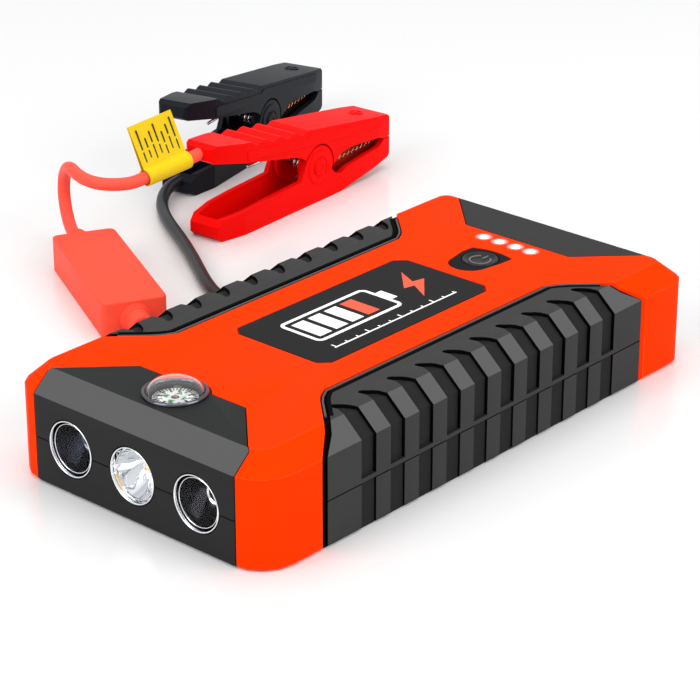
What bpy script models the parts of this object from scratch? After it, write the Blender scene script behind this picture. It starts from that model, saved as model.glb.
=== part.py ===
"""Jump starter pack for a car battery, with its lead set.

The pack is a moulded case of two orange shells. Dark grip pads cover its long sides, a lamp panel
its front end and a socket panel its rear end. Inside are three pouch cells and a circuit board.
The lead set lies behind the pack: a two-pole plug, a protection box and two spring clamps.

The frame: +X from the lamps to the sockets, +Y towards the leads, +Z up. The origin is the centre
of the underside. Helper functions take millimetres and write metres.
"""

import math

import bpy
import bmesh
from mathutils import Matrix, Vector

MM = 0.001

# Driving dimensions, millimetres
LENGTH = 175.0
WIDTH = 90.6
HEIGHT = 30.4
SEAM_Z = 12.9
CHAMFER_IN = 6.0
CHAMFER_DOWN = 5.3
REAR_CORNER_RADIUS = 7.0
FRONT_CORNER_RADIUS = 10.5
TOP_CORNER_RATIO = 0.43
FOOT_CHAMFER = 0.8
GAP = 0.3

# Shell walls
SIDE_WALL = 4.3
END_WALL = 2.4
TOP_WALL = 4.2
FLOOR_WALL = 2.2

# Grip pads
GRIP_THICKNESS = 2.4
GRIP_HALF_LENGTH = 67.0
RIB_PITCH = 11.0
GROOVE_WIDTH = 5.4
GROOVE_COUNT = 10
GROOVE_DEPTH = 1.1
LOWER_GROOVE_DEPTH = 0.6
GROOVE_FOOT_Z = 14.3
LIP_WIDTH = 1.7
LIP_DROP = 0.7

# End panels
PANEL_HALF_WIDTH = 35.4

# Lamps and compass
LAMP_RADIUS = 7.74
LAMP_SPACING = 22.4
LAMP_Z = 13.2
COMPASS_X = -71.4
COMPASS_RADIUS = 8.6
CARD_RADIUS = 6.0

# Controls on the top face
BUTTON_X = 48.7
BUTTON_Y = -0.7
BUTTON_RADIUS = 5.2
BUTTON_TRAVEL = 0.6
LIGHT_X = 62.2
LIGHT_YS = (8.8, 3.1, -2.7, -8.1)
BADGE_HALF_LENGTH = 34.2
BADGE_HALF_WIDTH = 16.6
BADGE_CLIP = 2.9

# Rear sockets, all on one level
SOCKET_Z = 13.0
JUMP_Y = -23.0
USB_YS = (-2.5, 14.0)
CHARGE_Y = 28.5
COVER_AXIS_X = 88.9
COVER_AXIS_Z = 21.6

# Clamps: lengths along the lever, measured from the pivot
PIVOT_HEIGHT = 12.0
CLAMP_WIDTH = 16.0
CLAMP_WALL = 1.9
EAR_RADIUS = 7.2
WAVE_START = -35.0
WAVE_PITCH = 7.6
WAVE_COUNT = 4
RED_CLAMP_PLACE = (110.0, 124.6, 4.0)
BLACK_CLAMP_PLACE = (131.5, 167.9, 14.0)

# Leads
LEAD_DIAMETER = 4.0
BOX_CENTRE = (8.0, 109.0)
BOX_HEADING = 62.0
BOX_SIZE = (58.0, 20.0, 11.0)
RELIEF_LENGTH = 8.0
PLUG_CENTRE = (77.0, 57.0)
PLUG_PITCH = 8.0
TAG_SLACK = 0.45
TAG_HALF_LENGTH = 9.0
TAG_HEIGHT = 16.5
TAG_CENTRE = (45.5, 121.3, 28.2)
TAG_TURN = (-22.0, -4.8, -2.8)

# Routes of the leads, chosen by hand
RED_PLUG_ROUTE = [
    (-9.6, 75.9, 5.5), (-11.3, 72.7, 5.1), (-13.0, 69.0, 3.9), (-13.7, 65.2, 3.0), (-13.0, 61.2, 2.4),
    (-10.7, 57.6, 2.1), (-7.0, 54.8, 2.1), (-2.2, 53.4, 2.1), (6.0, 53.0, 2.1), (17.0, 53.0, 2.1),
    (29.0, 53.0, 2.1), (39.5, 53.0, 2.5), (49.0, 53.0, 3.7), (56.0, 53.0, 4.7), (61.7, 53.0, 5.2),
]
RED_CLAMP_ROUTE = [
    (25.7, 142.2, 5.5), (27.1, 144.8, 5.7), (29.5, 149.2, 7.4), (31.3, 152.6, 11.4),
    (31.9, 153.8, 16.8), (31.2, 152.4, 22.0), (29.3, 148.9, 25.9), (26.9, 144.4, 27.7),
    (24.9, 140.0, 27.8), (23.9, 135.0, 27.4), (24.8, 130.0, 27.0), (27.6, 125.7, 26.9),
    (31.8, 122.8, 27.0), (36.6, 121.8, 27.5), (41.0, 121.5, 27.8), (45.5, 121.3, 28.2),
    (50.0, 121.1, 28.6), (53.5, 120.9, 28.9), (56.6, 120.8, 29.1),
]
BLACK_ROUTE = [
    (81.6, 155.5, 4.5), (78.0, 154.4, 4.1), (73.4, 151.9, 3.2), (68.8, 147.8, 2.4), (64.4, 142.2, 2.1),
    (60.2, 135.8, 2.1), (56.2, 129.0, 2.1), (52.0, 121.8, 2.1), (47.4, 114.4, 2.1), (42.6, 107.0, 2.1),
    (37.6, 99.6, 2.1), (32.8, 92.2, 2.1), (28.8, 84.6, 2.1), (27.0, 76.8, 2.1), (29.0, 69.2, 2.1),
    (34.6, 63.8, 2.1), (42.6, 61.3, 2.6), (50.6, 61.0, 3.9), (56.5, 61.0, 4.7), (61.7, 61.0, 5.2),
]

# Colours and finishes: name -> (red, green, blue, roughness, metallic)
FINISHES = {
    "orange_plastic": (0.95, 0.06, 0.0, 0.42, 0.0),
    "dark_plastic": (0.035, 0.035, 0.036, 0.55, 0.0),
    "grip_rubber": (0.040, 0.040, 0.041, 0.62, 0.0),
    "badge_film": (0.020, 0.020, 0.021, 0.35, 0.0),
    "button_rubber": (0.015, 0.015, 0.016, 0.45, 0.0),
    "light_pipe": (0.90, 0.92, 1.0, 0.20, 0.0),
    "clear_plastic": (0.85, 0.88, 0.90, 0.05, 0.0),
    "chrome": (0.80, 0.81, 0.83, 0.10, 1.0),
    "card_white": (0.85, 0.86, 0.84, 0.50, 0.0),
    "board_green": (0.02, 0.16, 0.07, 0.50, 0.0),
    "cell_foil": (0.55, 0.56, 0.58, 0.35, 0.8),
    "steel": (0.55, 0.55, 0.56, 0.30, 1.0),
    "socket_nylon": (0.02, 0.02, 0.022, 0.50, 0.0),
    "plug_blue": (0.03, 0.12, 0.45, 0.45, 0.0),
    "brass": (0.78, 0.57, 0.22, 0.28, 1.0),
    "clamp_red": (0.90, 0.02, 0.015, 0.30, 0.0),
    "clamp_black": (0.012, 0.013, 0.017, 0.30, 0.0),
    "lead_red": (0.90, 0.10, 0.07, 0.45, 0.0),
    "lead_black": (0.015, 0.015, 0.017, 0.45, 0.0),
    "tag_yellow": (0.95, 0.70, 0.01, 0.50, 0.0),
    "copper": (0.72, 0.35, 0.22, 0.30, 1.0),
}


# ---------------------------------------------------------------- building blocks

def clear_scene():
    for thing in list(bpy.data.objects):
        bpy.data.objects.remove(thing, do_unlink=True)


def material(finish):
    """The Principled material of one finish, made once."""
    found = bpy.data.materials.get(finish)
    if found:
        return found
    made = bpy.data.materials.new(finish)
    made.use_nodes = True
    red, green, blue, roughness, metallic = FINISHES[finish]
    shader = made.node_tree.nodes["Principled BSDF"]
    shader.inputs["Base Color"].default_value = (red, green, blue, 1.0)
    shader.inputs["Roughness"].default_value = roughness
    shader.inputs["Metallic"].default_value = metallic
    return made


def new_object(name, data, finish=None):
    made = bpy.data.objects.new(name, data)
    bpy.context.scene.collection.objects.link(made)
    if finish:
        data.materials.append(material(finish))
    return made


def solid(name, points, faces, finish=None):
    """A closed mesh from millimetre points, with its faces pointing out."""
    mesh = bpy.data.meshes.new(name)
    mesh.from_pydata([Vector(point) * MM for point in points], [], faces)
    work = bmesh.new()
    work.from_mesh(mesh)
    bmesh.ops.recalc_face_normals(work, faces=work.faces)
    work.to_mesh(mesh)
    work.free()
    return new_object(name, mesh, finish)


def loft(name, loops, finish=None):
    """A solid skinned through loops that have equal numbers of points."""
    count = len(loops[0])
    points = [point for loop in loops for point in loop]
    faces = [tuple(range(count)), tuple(range(len(points) - count, len(points)))]
    for level in range(len(loops) - 1):
        start = level * count
        for i in range(count):
            j = (i + 1) % count
            faces.append((start + i, start + j, start + count + j, start + count + i))
    return solid(name, points, faces, finish)


def along(axis, u, v, w):
    """A point whose outline coordinates are u, v and whose height along the axis is w."""
    if axis == "x":
        return (w, u, v)
    if axis == "y":
        return (u, w, v)
    return (u, v, w)


def extrude(name, outline, low, high, axis="z", finish=None):
    """An outline pushed from low to high along an axis."""
    loops = [[along(axis, u, v, w) for u, v in outline] for w in (low, high)]
    return loft(name, loops, finish)


def box(name, low, high, finish=None):
    outline = [(low[0], low[1]), (high[0], low[1]), (high[0], high[1]), (low[0], high[1])]
    return extrude(name, outline, low[2], high[2], "z", finish)


def arc(centre, radius, start, end, steps):
    """Points on an arc, angles in degrees, both ends included."""
    points = []
    for i in range(steps + 1):
        angle = math.radians(start + (end - start) * i / steps)
        points.append((centre[0] + radius * math.cos(angle), centre[1] + radius * math.sin(angle)))
    return points


def circle(centre, radius, steps=24):
    return arc(centre, radius, 0.0, 360.0 * (steps - 1) / steps, steps - 1)


def rounded_rectangle(half_x, half_y, radius, steps=4, centre=(0.0, 0.0), front_radius=None):
    """A rectangle with round corners. front_radius is that of the two corners on the -x side."""
    points = []
    for sign_x, sign_y, start in ((1, 1, 0), (-1, 1, 90), (-1, -1, 180), (1, -1, 270)):
        bend = front_radius if front_radius and sign_x < 0 else radius
        middle = (centre[0] + sign_x * (half_x - bend), centre[1] + sign_y * (half_y - bend))
        points += arc(middle, bend, start, start + 90, steps)
    return points


def turned(name, profile, place, axis="z", steps=28, finish=None):
    """A solid turned round an axis through place. The profile is a closed list of (radius, height);
    a radius of 0 is a point on the axis."""
    points = []
    rings = []
    for radius, height in profile:
        if radius == 0.0:
            rings.append([len(points)])
            points.append(along(axis, 0.0, 0.0, height))
        else:
            rings.append(list(range(len(points), len(points) + steps)))
            points += [along(axis, u, v, height) for u, v in circle((0.0, 0.0), radius, steps)]
    faces = []
    for k, ring in enumerate(rings):
        other = rings[(k + 1) % len(rings)]
        if len(ring) == 1 and len(other) == 1:
            continue
        for i in range(steps):
            j = (i + 1) % steps
            if len(ring) == 1:
                faces.append((ring[0], other[i], other[j]))
            elif len(other) == 1:
                faces.append((ring[i], ring[j], other[0]))
            else:
                faces.append((ring[i], ring[j], other[j], other[i]))
    moved = [tuple(Vector(point) + Vector(place)) for point in points]
    return solid(name, moved, faces, finish)


def boolean(target, tool, operation):
    """Combine two solids, keep the result in target and drop the tool."""
    modifier = target.modifiers.new("combine", "BOOLEAN")
    modifier.operation = operation
    modifier.solver = "EXACT"
    modifier.object = tool
    bpy.context.view_layer.update()
    graph = bpy.context.evaluated_depsgraph_get()
    mesh = bpy.data.meshes.new_from_object(target.evaluated_get(graph))
    target.modifiers.clear()
    old = target.data
    target.data = mesh
    bpy.data.meshes.remove(old)
    bpy.data.objects.remove(tool, do_unlink=True)
    return target


def cut(target, *tools):
    for tool in tools:
        boolean(target, tool, "DIFFERENCE")
    return target


def join(target, *others):
    for other in others:
        boolean(target, other, "UNION")
    return target


def keep(target, region):
    return boolean(target, region, "INTERSECT")


def finished(thing, finish, smooth_angle=35.0):
    """Name the mesh, give it one material and shade its round faces smooth."""
    mesh = thing.data
    mesh.name = thing.name
    mesh.materials.clear()
    mesh.materials.append(material(finish))
    for face in mesh.polygons:
        face.material_index = 0
    mesh.shade_smooth()
    mesh.set_sharp_from_angle(angle=math.radians(smooth_angle))
    return thing


def smooth_route(route, spacing):
    """Evenly spaced points on a Catmull-Rom curve through the route, both ends included."""
    knots = [Vector(point) for point in route]
    ends = [knots[0] * 2 - knots[1]] + knots + [knots[-1] * 2 - knots[-2]]
    fine = []
    for k in range(len(knots) - 1):
        a, b, c, d = ends[k:k + 4]
        for i in range(24):
            t = i / 24.0
            fine.append(0.5 * (2 * b + (c - a) * t + (2 * a - 5 * b + 4 * c - d) * t * t
                               + (3 * b - a - 3 * c + d) * t * t * t))
    fine.append(knots[-1])
    lengths = [0.0]
    for k in range(len(fine) - 1):
        lengths.append(lengths[-1] + (fine[k + 1] - fine[k]).length)
    count = max(4, round(lengths[-1] / spacing))
    points = []
    k = 0
    for i in range(count + 1):
        wanted = lengths[-1] * i / count
        while k < len(lengths) - 2 and lengths[k + 1] < wanted:
            k += 1
        share = (wanted - lengths[k]) / max(lengths[k + 1] - lengths[k], 1e-9)
        points.append(fine[k].lerp(fine[k + 1], share))
    return points


def tube(name, points, diameter, finish):
    """A round tube with closed ends along millimetre points."""
    curve = bpy.data.curves.new(name, "CURVE")
    curve.dimensions = "3D"
    curve.bevel_depth = diameter * MM / 2
    curve.bevel_resolution = 2
    curve.use_fill_caps = True
    line = curve.splines.new("POLY")
    line.points.add(len(points) - 1)
    for knot, point in zip(line.points, points):
        knot.co = (*(Vector(point) * MM), 1.0)
        knot.radius = 1.0
    return new_object(name, curve, finish)


# ---------------------------------------------------------------- the outer form

def envelope(name, side=0.0, end=None, top=None, bottom=0.0, floor_chamfer=True):
    """The chamfered outer form of the pack, moved in by side, end and top."""
    end = side if end is None else end
    top = side if top is None else top
    slope = math.hypot(CHAMFER_IN, CHAMFER_DOWN)
    fold_drop = (1.0 - CHAMFER_DOWN / slope) / (CHAMFER_IN / slope)
    top_draw = (1.0 - CHAMFER_IN / slope) / (CHAMFER_DOWN / slope)
    half_x = LENGTH / 2 - end
    half_y = WIDTH / 2 - side
    fold_z = HEIGHT - CHAMFER_DOWN - fold_drop * top
    top_x = LENGTH / 2 - CHAMFER_IN - top_draw * top
    top_y = WIDTH / 2 - CHAMFER_IN - top_draw * top
    levels = [(fold_z, half_x, half_y, 1.0), (HEIGHT - top, top_x, top_y, TOP_CORNER_RATIO)]
    if floor_chamfer:
        levels.insert(0, (bottom + FOOT_CHAMFER, half_x, half_y, 1.0))
        levels.insert(0, (bottom, half_x - FOOT_CHAMFER, half_y - FOOT_CHAMFER, 1.0))
    else:
        levels.insert(0, (bottom, half_x, half_y, 1.0))
    loops = []
    for z, reach_x, reach_y, share in levels:
        plan = rounded_rectangle(reach_x, reach_y, REAR_CORNER_RADIUS * share,
                                 front_radius=FRONT_CORNER_RADIUS * share)
        loops.append([(x, y, z) for x, y in plan])
    return loft(name, loops)


def cavity():
    return envelope("cavity", SIDE_WALL, END_WALL, TOP_WALL, FLOOR_WALL, floor_chamfer=False)


def wall_shell(name):
    """The whole outer wall of the pack, before it is divided into pieces."""
    return cut(envelope(name), cavity())


def half_space(name, low_z, high_z):
    reach = LENGTH
    return box(name, (-reach, -reach, low_z), (reach, reach, high_z))


def front_outline(grow):
    """Plan of the lamp panel on the top face, with a round bay for the compass."""
    wide = PANEL_HALF_WIDTH + grow
    edge = -65.8 + grow
    bay = COMPASS_RADIUS + 0.35 + grow
    narrow = 18.7 + grow * 0.4
    reach = math.sqrt(bay ** 2 - (edge - COMPASS_X) ** 2)
    angle = math.degrees(math.atan2(reach, edge - COMPASS_X))
    outline = [(-95.0, -wide), (-82.0, -wide), (edge - 15.2, -narrow - 15.2), (edge, -narrow)]
    outline += arc((COMPASS_X, 0.2), bay, -angle, angle, 10)
    outline += [(edge, narrow), (edge - 15.2, narrow + 15.2), (-82.0, wide), (-95.0, wide)]
    return outline


def rear_outline(grow):
    """Plan of the socket panel on the top face."""
    wide = PANEL_HALF_WIDTH + grow
    edge = 66.3 - grow
    narrow = 18.6 + grow * 0.4
    return [(95.0, -wide), (95.0, wide), (82.2, wide), (edge + 15.0, narrow + 15.0), (edge, narrow),
            (edge, -narrow), (edge + 15.0, -narrow - 15.0), (82.2, -wide)]


def panel_region(name, outline, wall_x, end_x, grow):
    """All the space that an end panel takes: its top plate and its upright wall."""
    wide = PANEL_HALF_WIDTH + grow
    top_part = extrude(name, outline, 20.0, HEIGHT + 5.0)
    low_x, high_x = sorted((wall_x, end_x))
    wall_part = box("wall_part", (low_x, -wide, -2.0), (high_x, wide, 24.0))
    return join(top_part, wall_part)


def front_region(name, grow=0.0):
    return panel_region(name, front_outline(grow), -LENGTH / 2 + END_WALL + grow, -95.0, grow)


def rear_region(name, grow=0.0):
    return panel_region(name, rear_outline(grow), LENGTH / 2 - END_WALL - grow, 95.0, grow)


def grip_outline(side, grow):
    """Plan of a grip pad: straight along the middle, swept out to the side at both ends."""
    reach = GRIP_HALF_LENGTH + grow
    bend = grow * 0.6
    half = [(reach, 60.0), (reach, 45.6), (60.5 + bend, 40.8 - bend), (50.2 + bend, 29.9 - bend),
            (48.0 + bend, 28.0 - bend), (44.6 + bend * 0.5, 26.3 - grow)]
    plan = half + [(-x, y) for x, y in reversed(half)]
    return [(x, side * y) for x, y in plan]


def grip_region(name, side, grow=0.0):
    """The space of one grip pad: a skin of the outer form inside the pad's plan."""
    region = extrude(name, grip_outline(side, grow), -3.0, HEIGHT + 5.0)
    depth = GRIP_THICKNESS + grow
    return cut(region, envelope("core", depth, 0.0, depth, -5.0, floor_chamfer=False))


# ---------------------------------------------------------------- case shells

def screw_places():
    return [(x, y) for x in (-66.0, 66.0) for y in (-36.5, 36.5)]


def case_shell(name, low_z, high_z):
    """The orange wall between two levels, without the panels' and pads' places."""
    shell = wall_shell(name)
    cut(shell, front_region("front", GAP), rear_region("rear", GAP))
    for side in (-1, 1):
        cut(shell, grip_region("pad", side, GAP))
    return keep(shell, half_space("band", low_z, high_z))


def upper_case():
    shell = case_shell("upper_case", SEAM_Z + GAP / 2, HEIGHT + 5.0)
    for x, y in screw_places():
        post = extrude("post", circle((x, y), 3.4, 14), SEAM_Z + GAP / 2, HEIGHT - TOP_WALL + 0.6)
        join(shell, post)
        cut(shell, extrude("thread", circle((x, y), 1.5, 10), 5.0, 21.0))
    cut(shell, extrude("badge_seat", badge_outline(GAP), HEIGHT - 1.1, HEIGHT + 2.0))
    cut(shell, extrude("surround_seat", surround_outline(GAP), HEIGHT - 2.5, HEIGHT + 2.0))
    cut(shell, extrude("stem_hole", circle((BUTTON_X, BUTTON_Y), 2.5, 20), 20.0, HEIGHT + 2.0))
    for y in LIGHT_YS:
        cut(shell, extrude("light_hole", circle((LIGHT_X, y), 1.5, 12), 20.0, HEIGHT + 2.0))
    return finished(shell, "orange_plastic")


def lower_case():
    shell = case_shell("lower_case", -5.0, SEAM_Z - GAP / 2)
    for x, y in screw_places():
        join(shell, extrude("post", circle((x, y), 3.9, 14), FLOOR_WALL - 0.6, SEAM_Z - GAP / 2))
        cut(shell, extrude("head_hole", circle((x, y), 2.9, 14), -2.0, 6.2))
        cut(shell, extrude("shank_hole", circle((x, y), 1.6, 10), 5.0, SEAM_Z + 2.0))
    return finished(shell, "orange_plastic")


def case_screws():
    profile = [(0.0, 4.9), (0.9, 4.0), (2.0, 4.0), (2.6, 4.8), (2.6, 5.8), (1.2, 5.9), (1.2, 19.2),
               (0.6, 20.2), (0.0, 20.2)]
    for number, (x, y) in enumerate(screw_places(), start=1):
        screw = turned(f"case_screw_{number}", profile, (x, y, 0.0), steps=12)
        finished(screw, "steel")


# ---------------------------------------------------------------- grip pads

def groove_plan(centre, side):
    """Plan of one groove: straight over the side and facet, then a tail bent towards the lamps."""
    half = GROOVE_WIDTH / 2
    right = [(centre + half, 50.0), (centre + half, 39.3), (centre + 2.3, 37.3), (centre + 1.3, 35.5),
             (centre - 0.1, 34.0), (centre - 1.3, 33.3)]
    left = [(centre - 2.2, 33.8), (centre - 1.9, 35.0), (centre - 1.6, 36.4), (centre - half, 39.3),
            (centre - half, 50.0)]
    return [(x, side * y) for x, y in right + left]


def groove_cutter(side, low_z, high_z, depth):
    """All grooves of a pad as one cutter that follows the outer form at an even depth."""
    cutters = None
    for i in range(GROOVE_COUNT):
        centre = RIB_PITCH * (i - (GROOVE_COUNT - 1) / 2)
        one = extrude("groove", groove_plan(centre, side), low_z, high_z)
        cutters = one if cutters is None else join(cutters, one)
    return cut(cutters, envelope("core", depth, 0.0, depth, -5.0, floor_chamfer=False))


def lip_cutter(side):
    """The low border round a pad: what lies outside its raised middle, down to the lip's face."""
    border = extrude("lip", grip_outline(side, 1.0), -3.0, HEIGHT + 5.0)
    cut(border, extrude("middle", grip_outline(side, -LIP_WIDTH), -4.0, HEIGHT + 6.0))
    return cut(border, envelope("core", LIP_DROP, 0.0, LIP_DROP, -5.0, floor_chamfer=False))


def grip_pads():
    for word, side in (("right", -1), ("left", 1)):
        pad = keep(envelope(f"{word}_grip_upper"), grip_region("region", side))
        keep(pad, half_space("band", SEAM_Z + GAP / 2, HEIGHT + 5.0))
        cut(pad, lip_cutter(side), groove_cutter(side, GROOVE_FOOT_Z, HEIGHT + 5.0, GROOVE_DEPTH))
        finished(pad, "grip_rubber")
        pad = keep(envelope(f"{word}_grip_lower"), grip_region("region", side))
        keep(pad, half_space("band", -5.0, SEAM_Z - GAP / 2))
        cut(pad, lip_cutter(side), groove_cutter(side, -2.0, SEAM_Z + 2.0, LOWER_GROOVE_DEPTH))
        finished(pad, "grip_rubber")


# ---------------------------------------------------------------- front end

def lamp_places():
    return [(word, side * LAMP_SPACING) for word, side in (("left", 1), ("middle", 0), ("right", -1))]


def front_panels():
    for name, low, high in (("front_panel_upper", SEAM_Z + GAP / 2, HEIGHT + 5.0),
                            ("front_panel_lower", -5.0, SEAM_Z - GAP / 2)):
        panel = keep(wall_shell(name), front_region("region"))
        keep(panel, half_space("band", low, high))
        for _, y in lamp_places():
            hole = circle((y, LAMP_Z), LAMP_RADIUS + GAP, 32)
            cut(panel, extrude("lamp_hole", hole, -95.0, -80.0, "x"))
        if low > 0:
            bowl_hole = circle((COMPASS_X, 0.2), 7.6, 32)
            cut(panel, extrude("bowl_hole", bowl_hole, 15.0, HEIGHT + 3.0))
        finished(panel, "dark_plastic")


def lamps():
    """Each lamp is a turned chrome cup with a clear lens in its mouth."""
    front = -LENGTH / 2
    cup_depth = 8.6
    steps = 4
    inside = []
    outside = []
    for i in range(steps + 1):
        share = i / steps
        radius = 1.9 + 4.9 * math.sqrt(1.0 - share)
        inside.append((radius, front + 2.0 + (cup_depth - 2.0) * share))
        outside.append((radius + 0.85, front + 2.9 + (cup_depth - 2.0) * share))
    profile = [(7.0, front - 0.1), (7.05, front + 2.0)] + inside + list(reversed(outside))
    profile += [(LAMP_RADIUS, front + 2.8), (LAMP_RADIUS, front + 0.1), (LAMP_RADIUS - 0.3, front - 0.1)]
    lens = [(0.0, front + 0.35), (3.6, front + 0.5), (6.7, front + 0.8), (6.7, front + 1.6),
            (0.0, front + 1.6)]
    for word, y in lamp_places():
        cup = turned(f"{word}_lamp_reflector", profile, (0.0, y, LAMP_Z), "x", 24)
        finished(cup, "chrome")
        window = turned(f"{word}_lamp_lens", lens, (0.0, y, LAMP_Z), "x", 24)
        finished(window, "clear_plastic")


def lamp_board():
    """The upright board behind the lamps, with one emitter for each."""
    board = box("lamp_board", (-77.2, -29.0, 4.6), (-75.7, 29.0, 20.8))
    for _, y in lamp_places():
        emitter = turned("emitter", [(0.0, -79.4), (0.9, -79.1), (1.4, -78.3), (1.5, -76.9), (0.0, -76.9)],
                         (0.0, y, LAMP_Z), "x", 14)
        join(board, emitter)
    finished(board, "board_green")


def compass():
    """A bowl with a pivot pin, a card that turns on it, and a clear dome."""
    place = (COMPASS_X, 0.2, 0.0)
    bowl = [(0.0, 23.4), (7.0, 23.4), (7.3, 23.7), (7.3, 30.4), (6.5, 30.4), (6.5, 24.4), (1.2, 24.4),
            (0.35, 27.9), (0.0, 27.9)]
    finished(turned("compass_bowl", bowl, place, steps=24), "dark_plastic")
    card = [(0.0, 28.2), (0.6, 28.2), (0.9, 28.6), (CARD_RADIUS, 28.6), (CARD_RADIUS, 29.3),
            (0.8, 29.3), (0.5, 29.8), (0.0, 29.8)]
    finished(turned("compass_card", card, (0.0, 0.0, 0.0), steps=24), "card_white")
    dome = [(COMPASS_RADIUS, 30.7), (COMPASS_RADIUS, 31.2), (8.0, 31.5), (6.9, 32.9), (4.4, 34.0),
            (0.0, 34.6), (0.0, 33.8), (4.0, 33.3), (6.2, 32.2), (6.9, 31.0), (6.9, 30.7)]
    finished(turned("compass_dome", dome, place, steps=24), "clear_plastic")
    bpy.data.objects["compass_card"].location = Vector(place) * MM


# ---------------------------------------------------------------- top face

def badge_outline(grow):
    """A long plate with four clipped corners."""
    x = BADGE_HALF_LENGTH + grow
    y = BADGE_HALF_WIDTH + grow
    clip = BADGE_CLIP
    return [(x, -y + clip), (x, y - clip), (x - clip, y), (-x + clip, y), (-x, y - clip),
            (-x, -y + clip), (-x + clip, -y), (x - clip, -y)]


def surround_outline(grow):
    """A shield: a round nose towards the lamps, widening to two points."""
    nose = arc((BUTTON_X - 4.3, BUTTON_Y + 0.2), 5.9 + grow, 108, 252, 10)
    return nose + [(50.0, -7.3 - grow), (54.4 + grow, -7.5 - grow), (55.3 + grow, -4.2),
                   (55.6 + grow, BUTTON_Y), (55.2 + grow, 2.8), (54.0 + grow, 6.2 + grow),
                   (50.0, 6.5 + grow)]


def badge_plate():
    finished(extrude("badge_plate", badge_outline(0.0), HEIGHT - 0.8, HEIGHT), "badge_film")


def button():
    surround = extrude("button_surround", surround_outline(0.0), HEIGHT - 2.2, HEIGHT - 0.2)
    well = extrude("well", circle((BUTTON_X, BUTTON_Y), BUTTON_RADIUS + GAP, 28), 20.0, HEIGHT + 2.0)
    cut(surround, well)
    finished(surround, "button_rubber")
    cap_bottom = HEIGHT - 1.5
    profile = [(0.0, 24.5), (1.8, 24.5), (2.0, 24.8), (2.0, cap_bottom), (BUTTON_RADIUS, cap_bottom),
               (BUTTON_RADIUS, HEIGHT - 0.1), (BUTTON_RADIUS - 0.5, HEIGHT + 0.1), (3.0, HEIGHT - 0.25),
               (0.0, HEIGHT - 0.35)]
    cap = turned("power_button", profile, (0.0, 0.0, -HEIGHT))
    cap.location = Vector((BUTTON_X, BUTTON_Y, HEIGHT)) * MM
    finished(cap, "button_rubber")


def charge_lights():
    """A clear bar below the top with four short light pipes through it."""
    bar = box("charge_light_bar", (LIGHT_X - 1.6, -10.4, 24.2), (LIGHT_X + 1.6, 11.1, 25.8))
    for y in LIGHT_YS:
        pipe = [(0.0, 25.0), (1.2, 25.0), (1.2, HEIGHT - 0.1), (0.7, HEIGHT + 0.1), (0.0, HEIGHT + 0.15)]
        join(bar, turned("pipe", pipe, (LIGHT_X, y, 0.0), steps=12))
    finished(bar, "light_pipe")


# ---------------------------------------------------------------- inside

def battery_cells():
    """Three flat pouch cells, stacked, each with a folded terminal end."""
    cell_height = 6.6
    pitch = 7.2
    for number in range(3):
        low = FLOOR_WALL + 0.5 + pitch * number
        outline = rounded_rectangle(50.0, 29.5, 2.5, 3, (-10.0, 0.0))
        cell = extrude(f"battery_cell_{number + 1}", outline, low, low + cell_height)
        terminals = box("terminals", (39.0, -24.0, low + 1.6), (43.5, 24.0, low + 2.6))
        join(cell, terminals)
        finished(cell, "cell_foil")


def main_board():
    board = extrude("main_circuit_board", rounded_rectangle(16.6, 31.0, 1.0, 2, (62.4, 0.0)), 19.0, 20.6)
    for y in (-20.0, 20.0):
        join(board, box("capacitor", (50.0, y - 4.0, 20.2), (58.0, y + 4.0, 24.2)))
    join(board, box("chip", (60.5, 13.5, 20.2), (67.0, 20.0, 21.8)))
    finished(board, "board_green")
    switch = box("button_switch", (BUTTON_X - 3.0, BUTTON_Y - 3.0, 20.9),
                 (BUTTON_X + 3.0, BUTTON_Y + 3.0, 22.9))
    plunger = extrude("plunger", circle((BUTTON_X, BUTTON_Y), 1.4, 16), 22.0, 23.6)
    join(switch, plunger)
    finished(switch, "steel")


# ---------------------------------------------------------------- rear end

def rear_panel():
    panel = keep(wall_shell("rear_panel"), rear_region("region"))
    rear = LENGTH / 2
    lug_low = COVER_AXIS_Z - 1.2
    for side in (-1, 1):
        middle = JUMP_Y + side * 10.5
        low = (rear - 0.6, middle - 1.0, lug_low)
        join(panel, box("lug", low, (COVER_AXIS_X + 1.2, middle + 1.0, lug_low + 2.4)))
    axle_hole = extrude("axle_hole", circle((COVER_AXIS_X, COVER_AXIS_Z), 0.75, 12),
                        JUMP_Y - 13.0, JUMP_Y + 13.0, "y")
    cut(panel, axle_hole)
    windows = [(JUMP_Y, 9.8 + GAP, 5.2 + GAP)]
    windows += [(y, 6.6 + GAP, 2.85 + GAP) for y in USB_YS]
    windows += [(CHARGE_Y, 4.5 + GAP, 1.6 + GAP)]
    for y, half_y, half_z in windows:
        window = box("window", (80.0, y - half_y, SOCKET_Z - half_z),
                     (95.0, y + half_y, SOCKET_Z + half_z))
        cut(panel, window)
    finished(panel, "dark_plastic")


def jump_socket():
    """The two-pole outlet for the lead set's plug: a block with two deep round bores."""
    block = box("jump_socket", (70.0, JUMP_Y - 9.8, SOCKET_Z - 5.2),
                (LENGTH / 2 - 0.3, JUMP_Y + 9.8, SOCKET_Z + 5.2))
    for side in (-1, 1):
        bore = circle((JUMP_Y + side * 4.7, SOCKET_Z), 4.0, 24)
        cut(block, extrude("bore", bore, 73.0, 95.0, "x"))
    finished(block, "socket_nylon")


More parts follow.
